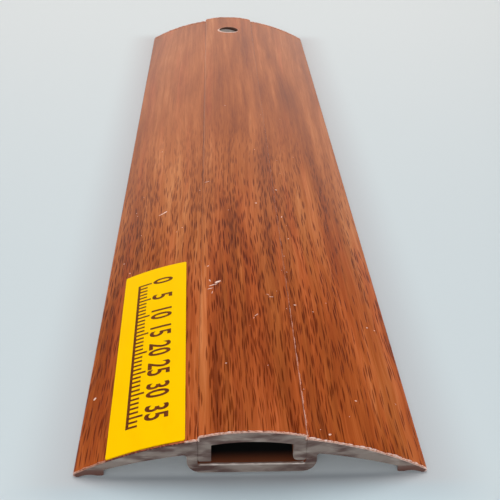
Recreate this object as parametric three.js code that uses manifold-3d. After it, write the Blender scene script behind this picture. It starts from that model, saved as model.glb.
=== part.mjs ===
// A threshold strip with a cable channel: a short length of arched floor trim, sawn off square.
// Two aluminium extrusions make it. The base has two arched wings and an open trough between them,
// and the cover is a shallow arch on two legs that press down into that trough, so that cables can be
// laid along it. Printed walnut foil is wrapped over the wings and over the cover, a tape label is
// stuck on the left wing at one end, and one hole is drilled down through both extrusions at the other.
//
// Millimetres. X runs across the strip, Y along it towards the drilled end, and Z up. The origin is on
// the floor, under the middle of the strip. A section is drawn as points [x, z].

import * as THREE from "three";
import { mergeVertices } from "three/addons/utils/BufferGeometryUtils.js";
import Module from "manifold-3d";

// Strip
const STRIP_LENGTH = 200;
const STRIP_WIDTH = 50;
const FOIL_THICKNESS = 0.2;

// Wings. The crown is the height at which the arcs of the two wings would meet over the middle.
const WING_CROWN_HEIGHT = 7.1;
const WING_ROOT_THICKNESS = 2.4;
const WING_EDGE_THICKNESS = 1.45;
const NOSE_METAL_RADIUS = 0.15;

// Toe, the part of a wing outside its hook, which carries the strip on the floor
const HEEL_WIDTH = 0.4;
const TOE_HOLLOW_RISE = 0.62;
const HOOK_FROM_EDGE = 4.3;
const HOOK_WIDTH = 0.95;
const HOOK_LIFT = 0.2;
const HOOK_ROUNDING = 0.3;

// Trough
const TROUGH_INNER_WIDTH = 15.2;
const TROUGH_WALL = 1.5;
const TROUGH_FLOOR = 1.5;
const TROUGH_LIFT = 0.5;
const TROUGH_OUTER_ROUNDING = 2.1;
const TROUGH_ROOT_FILLET = 0.4;
const TROUGH_LEFT_FILLET = 0.3;
const TROUGH_RIGHT_FILLET = 0.8;

// Cover
const COVER_SIDE_CLEARANCE = 0.1;
const CHANNEL_CLEAR_HEIGHT = 4.2;
const COVER_METAL_THICKNESS = 1.6;
const COVER_ARCH_RISE = 0.9;
const COVER_CORNER_METAL_RADIUS = 0.15;
const COVER_FOIL_TURN_DOWN = 0.5;
const LEG_THICKNESS = 1.8;
const LEG_FOOT_GAP = 0.6;
const LEG_OUTER_ROUNDING = 0.3;
const LEG_LEFT_ROUNDING = 0.15;
const LEG_RIGHT_ROUNDING = 0.9;
const LEG_ROOT_FILLET = 0.2;

// Hole through the cover and the trough's floor
const HOLE_DIAMETER = 6;
const HOLE_FROM_END = 14;

// Label
const LABEL_LENGTH = 46.5;
const LABEL_WIDTH = 11.1;
const LABEL_THICKNESS = 0.15;
const LABEL_GLUE = 0.02;
const LABEL_CORNER = 0.3;
const LABEL_FROM_EDGE = 9.7;
const LABEL_FROM_END = 0.15;
const LABEL_TURN = THREE.MathUtils.degToRad(1.2);

// Facets in one curve
const ARCH_STEPS = 20;
const COVER_STEPS = 12;
const ROUND_STEPS = 5;
const HOLE_STEPS = 40;

const wasm = await Module();
wasm.setup();

const aluminium = new THREE.MeshStandardMaterial({ color: 0xa39c98, roughness: 0.45, metalness: 1 });
const walnutFoil = new THREE.MeshStandardMaterial({ color: 0xa35a36, roughness: 0.4, metalness: 0 });
const yellowTape = new THREE.MeshStandardMaterial({ color: 0xffcf00, roughness: 0.45, metalness: 0 });

// Points of a circular arc round [x, z]. Angles are measured from straight up, clockwise, in radians.
function arc(x, z, radius, from, to, steps) {
  return Array.from({ length: steps + 1 }, (_, i) => {
    const angle = from + ((to - from) * i) / steps;
    return [x + radius * Math.sin(angle), z + radius * Math.cos(angle)];
  });
}

const mirrored = (points) => points.map(([x, z]) => [-x, z]);

// The wing's outer arc. It passes over the crown and runs into the round nose, which touches the floor.
const noseRadius = NOSE_METAL_RADIUS + FOIL_THICKNESS;
const noseX = STRIP_WIDTH / 2 - noseRadius;
const wingRadius =
  (noseX ** 2 + (WING_CROWN_HEIGHT - noseRadius) ** 2 - noseRadius ** 2) /
  (2 * (WING_CROWN_HEIGHT - 2 * noseRadius));
const wingCentreZ = WING_CROWN_HEIGHT - wingRadius;
const noseTangent = Math.asin(noseX / (wingRadius - noseRadius));
const wingTop = (x) => wingCentreZ + Math.sqrt(wingRadius ** 2 - x ** 2);

// The wing's outline from its inner end to the underside of its nose, at a depth below the foil's face.
function wingLine(depth) {
  const radius = wingRadius - depth;
  const start = Math.asin(TROUGH_INNER_WIDTH / 2 / radius);
  return [
    ...arc(0, wingCentreZ, radius, start, noseTangent, ARCH_STEPS),
    ...arc(noseX, noseRadius, noseRadius - depth, noseTangent, Math.PI, ROUND_STEPS).slice(1),
  ];
}

// The wing's underside is an arc too, centred on the strip's middle plane, through its two thicknesses.
const troughInner = TROUGH_INNER_WIDTH / 2;
const troughOuter = troughInner + TROUGH_WALL;
const hookInner = STRIP_WIDTH / 2 - HOOK_FROM_EDGE;
const rootZ = wingTop(troughOuter) - WING_ROOT_THICKNESS;
const edgeZ = wingTop(hookInner) - WING_EDGE_THICKNESS;
const underCentreZ =
  (troughOuter ** 2 + rootZ ** 2 - hookInner ** 2 - edgeZ ** 2) / (2 * (rootZ - edgeZ));
const underRadius = Math.hypot(troughOuter, rootZ - underCentreZ);

// From the nose to the hook's inner face: a flat heel, a shallow hollow and the rounded hook.
function toeLine() {
  const heelX = noseX - HEEL_WIDTH;
  const hookOuter = hookInner + HOOK_WIDTH;
  const hollow = new THREE.QuadraticBezierCurve(
    new THREE.Vector2(heelX, 0),
    new THREE.Vector2((heelX + hookOuter) / 2, TOE_HOLLOW_RISE),
    new THREE.Vector2(hookOuter, HOOK_LIFT),
  );
  return [
    [noseX, 0],
    ...hollow.getPoints(ROUND_STEPS * 2).map((p) => [p.x, p.y]),
    ...arc(hookInner + HOOK_ROUNDING, HOOK_LIFT + HOOK_ROUNDING, HOOK_ROUNDING, Math.PI, 1.5 * Math.PI, ROUND_STEPS),
  ];
}

// From the hook along the wing's underside, round the root and down the trough's wall to its bottom.
function undersideLine() {
  const rootFilletX = troughOuter + TROUGH_ROOT_FILLET;
  const rootFilletZ =
    underCentreZ + Math.sqrt((underRadius - TROUGH_ROOT_FILLET) ** 2 - rootFilletX ** 2);
  const rootTangent = Math.asin(rootFilletX / (underRadius - TROUGH_ROOT_FILLET));
  const bottomX = troughOuter - TROUGH_OUTER_ROUNDING;
  const bottomZ = TROUGH_LIFT + TROUGH_OUTER_ROUNDING;
  return [
    ...arc(0, underCentreZ, underRadius, Math.asin(hookInner / underRadius), rootTangent, ARCH_STEPS),
    ...arc(rootFilletX, rootFilletZ, TROUGH_ROOT_FILLET, rootTangent, -Math.PI / 2, ROUND_STEPS).slice(1),
    ...arc(bottomX, bottomZ, TROUGH_OUTER_ROUNDING, Math.PI / 2, Math.PI, ROUND_STEPS * 2),
  ];
}

// One half of the base: along the trough's floor, up its wall, out over the wing and back below.
const floorTop = TROUGH_LIFT + TROUGH_FLOOR;
const baseHalf = (fillet) => [
  ...arc(troughInner - fillet, floorTop + fillet, fillet, Math.PI, Math.PI / 2, ROUND_STEPS),
  ...wingLine(FOIL_THICKNESS),
  ...toeLine(),
  ...undersideLine(),
];
const baseSection = () => [
  ...baseHalf(TROUGH_RIGHT_FILLET),
  ...mirrored(baseHalf(TROUGH_LEFT_FILLET)).reverse(),
];
const wingFoilSection = () => [...wingLine(0), ...wingLine(FOIL_THICKNESS).reverse()];

// The cover's arch. Its foil turns down over rounded corners and ends on a small step in the legs.
const coverHalf = troughInner - COVER_SIDE_CLEARANCE;
const archUnderside = floorTop + CHANNEL_CLEAR_HEIGHT;
const coverCrown = archUnderside + COVER_METAL_THICKNESS + FOIL_THICKNESS;
const coverRadius = (coverHalf ** 2 + COVER_ARCH_RISE ** 2) / (2 * COVER_ARCH_RISE);
const coverCentreZ = coverCrown - coverRadius;
const cornerRadius = COVER_CORNER_METAL_RADIUS + FOIL_THICKNESS;
const cornerX = coverHalf - cornerRadius;
const cornerZ = coverCentreZ + Math.sqrt((coverRadius - cornerRadius) ** 2 - cornerX ** 2);
const cornerTangent = Math.asin(cornerX / (coverRadius - cornerRadius));
const foilEndZ = cornerZ - COVER_FOIL_TURN_DOWN;

// Half of the cover's outline from its crown to the foil's end, at a depth below the foil's face.
const coverLine = (depth) => [
  ...arc(0, coverCentreZ, coverRadius - depth, 0, cornerTangent, COVER_STEPS),
  ...arc(cornerX, cornerZ, cornerRadius - depth, cornerTangent, Math.PI / 2, ROUND_STEPS).slice(1),
  [coverHalf - depth, foilEndZ],
];

// One half of the cover: over the arch, down the leg's outer face, round its foot and back inside.
function coverMetalHalf(footRounding) {
  const legInner = coverHalf - LEG_THICKNESS;
  const footZ = floorTop + LEG_FOOT_GAP;
  const insideRadius = coverRadius - FOIL_THICKNESS - COVER_METAL_THICKNESS;
  const rootX = legInner - LEG_ROOT_FILLET;
  const rootRadius = insideRadius - LEG_ROOT_FILLET;
  const filletZ = coverCentreZ + Math.sqrt(rootRadius ** 2 - rootX ** 2);
  const filletTangent = Math.asin(rootX / rootRadius);
  const outerX = coverHalf - LEG_OUTER_ROUNDING;
  const innerX = legInner + footRounding;
  return [
    ...coverLine(FOIL_THICKNESS),
    [coverHalf, foilEndZ],
    ...arc(outerX, footZ + LEG_OUTER_ROUNDING, LEG_OUTER_ROUNDING, Math.PI / 2, Math.PI, ROUND_STEPS),
    ...arc(innerX, footZ + footRounding, footRounding, Math.PI, 1.5 * Math.PI, ROUND_STEPS),
    ...arc(rootX, filletZ, LEG_ROOT_FILLET, Math.PI / 2, filletTangent, ROUND_STEPS),
    ...arc(0, coverCentreZ, insideRadius, filletTangent, 0, COVER_STEPS).slice(1),
  ];
}
// Joins a right and a left half that both start and end on the middle plane, without doubling points.
const joined = (right, left) => [...right, ...mirrored(left).reverse().slice(1, -1)];
const coverSection = () => joined(coverMetalHalf(LEG_RIGHT_ROUNDING), coverMetalHalf(LEG_LEFT_ROUNDING));
function coverFoilSection() {
  const half = [...coverLine(0), ...coverLine(FOIL_THICKNESS).reverse()];
  return joined(half, half);
}

// A section [x, z] drawn out along Y, from one length coordinate to another.
function extrude(section, from, to) {
  const shape = new THREE.Shape(section.map(([x, z]) => new THREE.Vector2(x, z)));
  return new THREE.ExtrudeGeometry(shape, { depth: to - from, bevelEnabled: false, curveSegments: 1 })
    .rotateX(Math.PI / 2)
    .translate(0, to, 0);
}

// A closed geometry as a solid that can be cut, and back.
function solid(geometry) {
  const bare = geometry.clone();
  bare.deleteAttribute("normal");
  bare.deleteAttribute("uv");
  const merged = mergeVertices(bare);
  return new wasm.Manifold(
    new wasm.Mesh({
      numProp: 3,
      vertProperties: new Float32Array(merged.attributes.position.array),
      triVerts: new Uint32Array(merged.index.array),
    }),
  );
}
function geometryOf(cut) {
  const { vertProperties, triVerts } = cut.getMesh();
  const geometry = new THREE.BufferGeometry()
    .setAttribute("position", new THREE.BufferAttribute(vertProperties, 3))
    .setIndex(new THREE.BufferAttribute(triVerts, 1))
    .toNonIndexed();
  geometry.computeVertexNormals();
  return geometry;
}

// The drill's path, longer than the strip is high.
function drill() {
  const height = 4 * coverCrown;
  return new THREE.CylinderGeometry(HOLE_DIAMETER / 2, HOLE_DIAMETER / 2, height, HOLE_STEPS)
    .rotateX(Math.PI / 2)
    .translate(0, STRIP_LENGTH / 2 - HOLE_FROM_END, 0);
}

// A full-length piece of a section, drilled if the hole passes through it.
const fullLength = (section) => extrude(section, -STRIP_LENGTH / 2, STRIP_LENGTH / 2);
const drilled = (section) => geometryOf(solid(fullLength(section)).subtract(solid(drill())));

// The label's plan: a rectangle with rounded corners, as a block that is taller than the strip.
function labelPlan() {
  const [w, l, r] = [LABEL_WIDTH / 2, LABEL_LENGTH / 2, LABEL_CORNER];
  const plan = new THREE.Shape()
    .moveTo(-w + r, -l)
    .lineTo(w - r, -l)
    .absarc(w - r, -l + r, r, -Math.PI / 2, 0)
    .lineTo(w, l - r)
    .absarc(w - r, l - r, r, 0, Math.PI / 2)
    .lineTo(-w + r, l)
    .absarc(-w + r, l - r, r, Math.PI / 2, Math.PI)
    .lineTo(-w, -l + r)
    .absarc(-w + r, -l + r, r, Math.PI, 1.5 * Math.PI);
  return new THREE.ExtrudeGeometry(plan, { depth: 2 * coverCrown, bevelEnabled: false, curveSegments: ROUND_STEPS })
    .rotateZ(LABEL_TURN)
    .translate(
      -STRIP_WIDTH / 2 + LABEL_FROM_EDGE,
      -STRIP_LENGTH / 2 + LABEL_FROM_END + (LABEL_LENGTH / 2) * Math.cos(LABEL_TURN) +
        (LABEL_WIDTH / 2) * Math.sin(LABEL_TURN),
      -coverCrown / 2,
    );
}

// The label lies on the left wing's foil with a film of glue between them.
function label() {
  const inside = wingRadius + LABEL_GLUE;
  const start = Math.asin(TROUGH_INNER_WIDTH / 2 / wingRadius);
  const band = (radius) => mirrored(arc(0, wingCentreZ, radius, start, noseTangent, ARCH_STEPS * 2));
  const section = [...band(inside + LABEL_THICKNESS), ...band(inside).reverse()];
  return geometryOf(solid(fullLength(section)).intersect(solid(labelPlan())));
}

function piece(name, geometry, material) {
  const mesh = new THREE.Mesh(geometry, material);
  mesh.name = name;
  return mesh;
}

const base = new THREE.Group();
base.add(
  piece("base_profile", drilled(baseSection()), aluminium),
  piece("right_wing_foil", fullLength(wingFoilSection()), walnutFoil),
  piece("left_wing_foil", fullLength(mirrored(wingFoilSection())), walnutFoil),
  piece("tape_label", label(), yellowTape),
);

const cover = new THREE.Group();
cover.add(
  piece("cover_profile", drilled(coverSection()), aluminium),
  piece("cover_foil", drilled(coverFoilSection()), walnutFoil),
);

const strip = new THREE.Group();
strip.add(base, cover);

export default strip;
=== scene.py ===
"""A threshold strip with a cable channel, dressed for a studio picture.

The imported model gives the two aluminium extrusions, which stay as they are and get their finish here.
The printed walnut foils and the tape label are made again as fine skins, with torn saw edges, a round
hole and a plain printed scale. Lengths are in metres, +Z is up and +Y runs along the strip.
"""

from __future__ import annotations

import logging
import math
from dataclasses import dataclass, field
from enum import Enum
from typing import Callable, Sequence

import bmesh
import bpy
import numpy as np
from mathutils import Matrix, Vector

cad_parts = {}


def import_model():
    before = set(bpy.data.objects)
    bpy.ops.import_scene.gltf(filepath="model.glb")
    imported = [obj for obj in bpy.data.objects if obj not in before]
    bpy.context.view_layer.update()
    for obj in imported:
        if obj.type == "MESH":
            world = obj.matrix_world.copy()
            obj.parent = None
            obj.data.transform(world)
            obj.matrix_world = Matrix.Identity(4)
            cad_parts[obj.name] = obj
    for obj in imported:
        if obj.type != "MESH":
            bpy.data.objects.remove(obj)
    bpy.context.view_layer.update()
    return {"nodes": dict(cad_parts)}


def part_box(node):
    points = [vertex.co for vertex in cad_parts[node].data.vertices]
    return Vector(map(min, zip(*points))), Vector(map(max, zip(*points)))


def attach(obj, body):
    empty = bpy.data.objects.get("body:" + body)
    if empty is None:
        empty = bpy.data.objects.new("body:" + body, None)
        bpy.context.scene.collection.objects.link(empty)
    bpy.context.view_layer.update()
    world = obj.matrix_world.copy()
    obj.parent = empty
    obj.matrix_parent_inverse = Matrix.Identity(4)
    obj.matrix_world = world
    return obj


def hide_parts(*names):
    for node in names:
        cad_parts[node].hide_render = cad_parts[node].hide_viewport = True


LOG = logging.getLogger("threshold_strip")
MM = 0.001
LUMPY_CREASE = 80.0

Colour = tuple[float, float, float, float]


def srgb(red: int, green: int, blue: int) -> Colour:
    """Turns a display colour into the linear colour that shaders use.

    Args:
        red: The red channel, 0 to 255.
        green: The green channel, 0 to 255.
        blue: The blue channel, 0 to 255.

    Returns:
        The linear red, green and blue, and an alpha of 1.
    """
    encoded = np.array([red, green, blue]) / 255
    linear = np.where(encoded <= 0.04045, encoded / 12.92, ((encoded + 0.055) / 1.055) ** 2.4)
    return (float(linear[0]), float(linear[1]), float(linear[2]), 1.0)


class Value:
    """A number socket of a material, which Python arithmetic can be written with."""

    def __init__(self, graph: Graph, socket: bpy.types.NodeSocket) -> None:
        """Wraps a socket.

        Args:
            graph: The material's graph.
            socket: The output socket to wrap.
        """
        self.graph = graph
        self.socket = socket

    def __add__(self, other: Number) -> Value:
        """Adds a number."""
        return self.graph.maths("ADD", self, other)

    def __radd__(self, other: Number) -> Value:
        """Is added to a number."""
        return self.graph.maths("ADD", other, self)

    def __sub__(self, other: Number) -> Value:
        """Takes a number away."""
        return self.graph.maths("SUBTRACT", self, other)

    def __rsub__(self, other: Number) -> Value:
        """Is taken away from a number."""
        return self.graph.maths("SUBTRACT", other, self)

    def __mul__(self, other: Number) -> Value:
        """Multiplies by a number."""
        return self.graph.maths("MULTIPLY", self, other)

    def __rmul__(self, other: Number) -> Value:
        """Multiplies a number."""
        return self.graph.maths("MULTIPLY", other, self)

    def __truediv__(self, other: Number) -> Value:
        """Divides by a number."""
        return self.graph.maths("DIVIDE", self, other)

    def __rtruediv__(self, other: Number) -> Value:
        """Divides a number."""
        return self.graph.maths("DIVIDE", other, self)

    def __pow__(self, other: Number) -> Value:
        """Raises to a power."""
        return self.graph.maths("POWER", self, other)

    def __abs__(self) -> Value:
        """Gives the size without its sign."""
        return self.graph.maths("ABSOLUTE", self)

    def least(self, other: Number) -> Value:
        """Gives the smaller of the two numbers."""
        return self.graph.maths("MINIMUM", self, other)

    def most(self, other: Number) -> Value:
        """Gives the larger of the two numbers."""
        return self.graph.maths("MAXIMUM", self, other)

    def rise(self, low: Number, high: Number) -> Value:
        """Goes smoothly from 0 at the low value to 1 at the high one.

        Args:
            low: The value that gives 0.
            high: The value that gives 1, which may be below the low one.

        Returns:
            The smooth step.
        """
        made = self.graph.node(
            "ShaderNodeMapRange",
            {"interpolation_type": "SMOOTHSTEP"},
            {"Value": self, "From Min": low, "From Max": high},
        )
        return Value(self.graph, made.outputs["Result"])


Number = float | Value


class Graph:
    """The node graph of one material or of the surround, with its one shader."""

    def __init__(self, tree: bpy.types.NodeTree, shader: str) -> None:
        """Takes up a fresh node tree.

        Args:
            tree: The node tree, with its first nodes.
            shader: The name of its shader node.
        """
        self.tree = tree
        self.shader = tree.nodes[shader]

    @classmethod
    def surface(cls, name: str) -> Graph:
        """Makes a material that holds only a Principled shader and its output.

        Args:
            name: The material's name.

        Returns:
            The material's graph.
        """
        material = bpy.data.materials.new(name)
        material.use_nodes = True
        return cls(material.node_tree, "Principled BSDF")

    @property
    def material(self) -> bpy.types.Material:
        """Finds the material that the graph belongs to."""
        return next(item for item in bpy.data.materials if item.node_tree == self.tree)

    def node(
        self,
        kind: str,
        settings: dict[str, object] | None = None,
        inputs: dict[str | int, object] | None = None,
    ) -> bpy.types.Node:
        """Adds a node.

        Args:
            kind: The node's type.
            settings: Its own settings, set first. A setting named stops fills a colour ramp.
            inputs: The values or the wrapped sockets that its inputs take.

        Returns:
            The node.
        """
        made = self.tree.nodes.new(kind)
        for name, value in (settings or {}).items():
            if name == "stops":
                self._fill_ramp(made.color_ramp, value)
            else:
                setattr(made, name, value)
        for name, value in (inputs or {}).items():
            self._feed(made.inputs[name], value)
        return made

    def _fill_ramp(self, ramp: bpy.types.ColorRamp, stops: Sequence[tuple[float, Colour]]) -> None:
        """Gives a colour ramp its stops.

        Args:
            ramp: The ramp, which starts with two stops.
            stops: Each stop's place and colour.
        """
        for extra in range(len(stops) - len(ramp.elements)):
            ramp.elements.new((extra + 1) / len(stops))
        for element, (place, colour) in zip(ramp.elements, stops):
            element.position = place
            element.color = colour

    def _feed(self, socket: bpy.types.NodeSocket, value: object) -> None:
        """Links a wrapped socket to an input, or sets the input's value."""
        if isinstance(value, Value):
            self.tree.links.new(value.socket, socket)
        else:
            socket.default_value = value

    def maths(self, operation: str, *terms: Number) -> Value:
        """Adds a Math node.

        Args:
            operation: The Math node's operation.
            terms: Its one or two operands.

        Returns:
            The node's result.
        """
        made = self.node("ShaderNodeMath", {"operation": operation}, dict(enumerate(terms)))
        return Value(self, made.outputs[0])

    def mix(self, factor: Number, first: object, second: object, blend: str = "MIX") -> Value:
        """Mixes two colours.

        Args:
            factor: The share of the second colour.
            first: The first colour.
            second: The second colour.
            blend: The way of mixing.

        Returns:
            The mixed colour.
        """
        made = self.node(
            "ShaderNodeMix",
            {"data_type": "RGBA", "blend_type": blend},
            {0: factor, 6: first, 7: second},
        )
        return Value(self, made.outputs[2])

    def ramp(self, factor: Value, stops: Sequence[tuple[float, Colour]]) -> Value:
        """Looks a number up in a colour ramp."""
        made = self.node("ShaderNodeValToRGB", {"stops": stops}, {"Fac": factor})
        return Value(self, made.outputs["Color"])

    def place(self) -> tuple[Value, Value, Value]:
        """Gives the point's place on the object in millimetres, as X, Y and Z."""
        coordinates = self.node("ShaderNodeTexCoord")
        scaled = self.node(
            "ShaderNodeVectorMath",
            {"operation": "SCALE"},
            {"Vector": Value(self, coordinates.outputs["Object"]), "Scale": 1 / MM},
        )
        apart = self.node("ShaderNodeSeparateXYZ", None, {0: Value(self, scaled.outputs[0])})
        return tuple(Value(self, socket) for socket in apart.outputs)

    def _vector(self, x: Number, y: Number, z: Number = 0.0) -> Value:
        """Puts two or three numbers together as a vector."""
        made = self.node("ShaderNodeCombineXYZ", None, {0: x, 1: y, 2: z})
        return Value(self, made.outputs[0])

    def noise(
        self, place: tuple[Number, Number, Number], detail: float = 2.0, roughness: float = 0.5
    ) -> Value:
        """Gives smooth noise with one lump for each unit of the place.

        Args:
            place: The place in the noise, as X, Y and Z.
            detail: How many finer layers are added.
            roughness: How strong the finer layers are.

        Returns:
            A value from 0 to 1, mostly near 0.5.
        """
        made = self.node(
            "ShaderNodeTexNoise",
            {"noise_dimensions": "3D"},
            {"Vector": self._vector(*place), "Scale": 1.0, "Detail": detail, "Roughness": roughness},
        )
        return Value(self, made.outputs["Fac"])

    def cells(self, place: tuple[Number, Number]) -> tuple[Value, Value]:
        """Scatters one point in each unit square of the place.

        Places at one distance from a point lie on a rounded diamond, so that a stretched patch round
        the point tapers towards its ends.

        Args:
            place: The place in the pattern, as X and Y.

        Returns:
            The distance to the nearest point, and a random number from 0 to 1 that belongs to it.
        """
        made = self.node(
            "ShaderNodeTexVoronoi",
            {"voronoi_dimensions": "2D", "feature": "F1", "distance": "MINKOWSKI"},
            {"Vector": self._vector(*place), "Scale": 1.0, "Randomness": 1.0, "Exponent": 1.5},
        )
        apart = self.node("ShaderNodeSeparateColor", None, {0: Value(self, made.outputs["Color"])})
        return Value(self, made.outputs["Distance"]), Value(self, apart.outputs[0])

    def bump(self, height: Value, depth: float) -> None:
        """Raises the surface by a height from 0 to 1 times a depth in metres."""
        made = self.node("ShaderNodeBump", None, {"Strength": 1.0, "Distance": depth, "Height": height})
        self.finish({"Normal": Value(self, made.outputs["Normal"])})

    def finish(self, inputs: dict[str, object]) -> None:
        """Sets or links the Principled shader's inputs."""
        for name, value in inputs.items():
            self._feed(self.shader.inputs[name], value)


@dataclass(frozen=True)
class Band:
    """A long soft band in the wood print, darker or lighter than the ground: a stain, or a painted sheen
    along an edge.

    Attributes:
        x: Its middle across the strip, in mm.
        y: Its middle along the strip, in mm.
        width: Its half width in mm.
        length: Its half length in mm.
        depth: How far it goes towards the dark end of the print, or the light end if negative.
        lean: How far it moves along X for each mm along Y.
    """

    x: float
    y: float
    width: float
    length: float
    depth: float
    lean: float = 0.0


@dataclass(frozen=True)
class WalnutFoil:
    """The printed foil: reddish walnut with short dark pores along the strip, and pale torn edges.

    Attributes:
        half_length: Half of the strip's length in mm.
        hole_y: The hole's place along the strip in mm.
        hole_radius: The hole's radius in mm.
        label_x: The label's two sides in mm, between which the sawn edge isn't pale.
        bands: The print's broad stains, and two bands of painted sheen along edges.
        ramp: The print's colours from dark wood to pale wood.
        reddish: What the colour is multiplied by where it drifts to red.
        yellowish: The same where it drifts to yellow.
        pore_shade: The same inside a pore.
        torn_colour: The colour of torn foil.
        cut_colour: The colour of the foil's cut edge under the label, darkened as a painted shadow of
            the label's edge.
        rubbed_colour: The colour of a painted sheen on the foil beside the left seam, which pales the
            gap's shade.
        rubbed_x: The X of that line of painted sheen in mm.
        torn_width: How wide the torn stretch at a sawn end is, in mm.
        pore_depth: How deep the pores look.
    """

    half_length: float
    hole_y: float
    hole_radius: float
    label_x: tuple[float, float]
    bands: tuple[Band, ...]
    ramp: tuple[tuple[float, Colour], ...] = (
        (0.10, srgb(112, 50, 20)),
        (0.34, srgb(144, 66, 26)),
        (0.55, srgb(167, 82, 34)),
        (0.72, srgb(184, 96, 46)),
        (0.95, srgb(207, 121, 70)),
    )
    reddish: Colour = (1.03, 0.95, 0.98, 1.0)
    yellowish: Colour = (0.94, 1.05, 1.03, 1.0)
    pore_shade: Colour = (0.36, 0.23, 0.16, 1.0)
    torn_colour: Colour = srgb(232, 196, 182)
    cut_colour: Colour = srgb(104, 56, 50)
    rubbed_colour: Colour = srgb(206, 156, 132)
    rubbed_x: float = -7.4
    torn_width: float = 0.24
    pore_depth: float = 0.015 * MM

    def build(self) -> bpy.types.Material:
        """Makes the material.

        Returns:
            The finished material.
        """
        graph = Graph.surface("walnut_foil")
        x, y, z = graph.place()
        flow = self._flow(graph, x, y)
        crowd = graph.noise((flow * 0.33, y * 0.021, 7.0), 2.0)
        # The bands hold stains in the print and two bands of painted sheen along edges.
        stains = self._stains(x, y)
        pores = self._pores(graph, flow, y, crowd - stains * 0.35)
        tone = self._tone(graph, flow, y, crowd) + stains
        hue = graph.noise((flow * 0.3, y * 0.013, 11.0), 2.0) + 0.22 * y.rise(-72.0, -12.0)
        hue = hue.rise(0.38, 0.72)
        colour = graph.mix(
            1.0, graph.ramp(tone, self.ramp), graph.mix(hue, self.reddish, self.yellowish), "MULTIPLY"
        )
        colour = graph.mix(pores, colour, self.pore_shade, "MULTIPLY")
        # Painted sheen: a paler line beside the left seam over the far half, against the shade of the
        # gap.
        seam_sheen = abs(x - self.rubbed_x).rise(0.34, 0.1) * y.rise(-40.0, 10.0)
        colour = graph.mix(seam_sheen * 0.12, colour, self.rubbed_colour)
        torn, cut = self._torn(graph, x, y, z)
        colour = graph.mix(torn, colour, self.torn_colour)
        # The cut edge under the label, dark partly as a painted shadow of the label's edge.
        colour = graph.mix(cut, colour, self.cut_colour)
        fibre = graph.noise((flow * 4.0, y * 0.25, 3.0), 2.0)
        graph.finish(
            {
                "Base Color": colour,
                "Roughness": 0.18 + 0.07 * fibre + 0.3 * torn,
                "Specular IOR Level": 0.25,
            }
        )
        graph.bump((1.0 - pores) * 0.8 + fibre * 0.2 + torn, self.pore_depth)
        return graph.material

    def _flow(self, graph: Graph, x: Value, y: Value) -> Value:
        """Gives the place across the grain: X, pushed sideways by slow waves along the strip."""
        slow = graph.noise((x * 0.06, y * 0.013, 0.0), 1.0) - 0.5
        quick = graph.noise((x * 0.5, y * 0.08, 5.0), 1.0) - 0.5
        return x + slow * 4.0 + quick * 0.7

    def _stains(self, x: Value, y: Value) -> Value:
        """Adds up the stated bands, each with a weight that falls off from 1 at its middle.

        The weight is one over one plus the fourth power of the distance from the band's middle, which
        is measured in half widths across and half lengths along it.
        """
        total: Number = 0.0
        for band in self.bands:
            across = (x - (y * band.lean + (band.x - band.y * band.lean))) * (1 / band.width)
            along = (y - band.y) * (1 / band.length)
            distance = across * across + along * along
            total = total - band.depth / (1.0 + distance * distance)
        return total

    def _tone(self, graph: Graph, flow: Value, y: Value, crowd: Value) -> Value:
        """Gives the print's tone, from 0 for dark wood to 1 for pale wood.

        Patches and wide, narrow, fine and hair-thin streaks of noise, stretched along the strip, are
        added up. The wood is a little darker where its pores crowd together and along the middle of
        the cover, and a little paler past its near end.
        """
        wide = graph.noise((flow * 0.2, y * 0.009, 1.0), 2.0, 0.55)
        narrow = graph.noise((flow * 0.95, y * 0.024, 2.0), 2.0, 0.55)
        fine = graph.noise((flow * 2.6, y * 0.05, 4.0), 2.0, 0.6)
        hair = graph.noise((flow * 6.0, y * 0.11, 6.0), 1.0)
        patch = graph.noise((flow * 0.42, y * 0.034, 12.0), 2.0)
        threads = (fine - 0.5) * 0.6 + (hair - 0.5) * 0.3
        on_cover = flow.rise(-8.5, -5.0) * flow.rise(10.0, 6.0)
        midway = y.rise(-35.0, -10.0) * y.rise(70.0, 20.0)
        return (
            0.56
            + 0.05 * y.rise(-75.0, -35.0)
            + 0.04 * y.rise(-55.0, -80.0) * flow.rise(8.0, 4.0)
            - 0.07 * midway * on_cover
            + (wide - 0.5) * 0.4
            + (patch - 0.5) * (0.25 + 0.3 * y.rise(-50.0, 0.0))
            + (narrow - 0.5) * (0.55 - 0.15 * y.rise(-50.0, 10.0))
            + threads * (1.0 - 0.45 * y.rise(-20.0, 25.0))
            - (crowd - 0.5) * 0.4
        )

    def _pores(self, graph: Graph, flow: Value, y: Value, crowd: Value) -> Value:
        """Gives the pores: long and short dashes round scattered points.

        They come in crowds and in columns along the strip. They are boldest about a quarter of the way
        along it and fade out past its middle.
        """
        column = graph.noise((flow * 1.1, y * 0.016, 8.0), 1.0)
        plenty = crowd.rise(0.32, 0.64) * 0.6 + column.rise(0.38, 0.66) * 0.55
        plenty = plenty - 0.22 * flow.rise(9.0, 17.0)
        distance, chance = graph.cells((flow * 2.7, y * 0.165))
        size = 0.23 + 0.15 * chance
        there = (chance + plenty).rise(0.72, 0.9)
        long = distance.rise(size + 0.02, size - 0.1) * there
        distance, chance = graph.cells((flow * 4.2 + 17.0, y * 0.19 + 9.0))
        size = 0.22 + 0.18 * chance
        there = (chance + plenty).rise(0.96, 1.35)
        short = distance.rise(size + 0.06, size - 0.16) * there
        bold = 0.86 + 0.14 * y.rise(-86.0, -56.0) - 0.86 * y.rise(-44.0, 26.0)
        return long.most(short * 0.75) * bold

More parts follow.
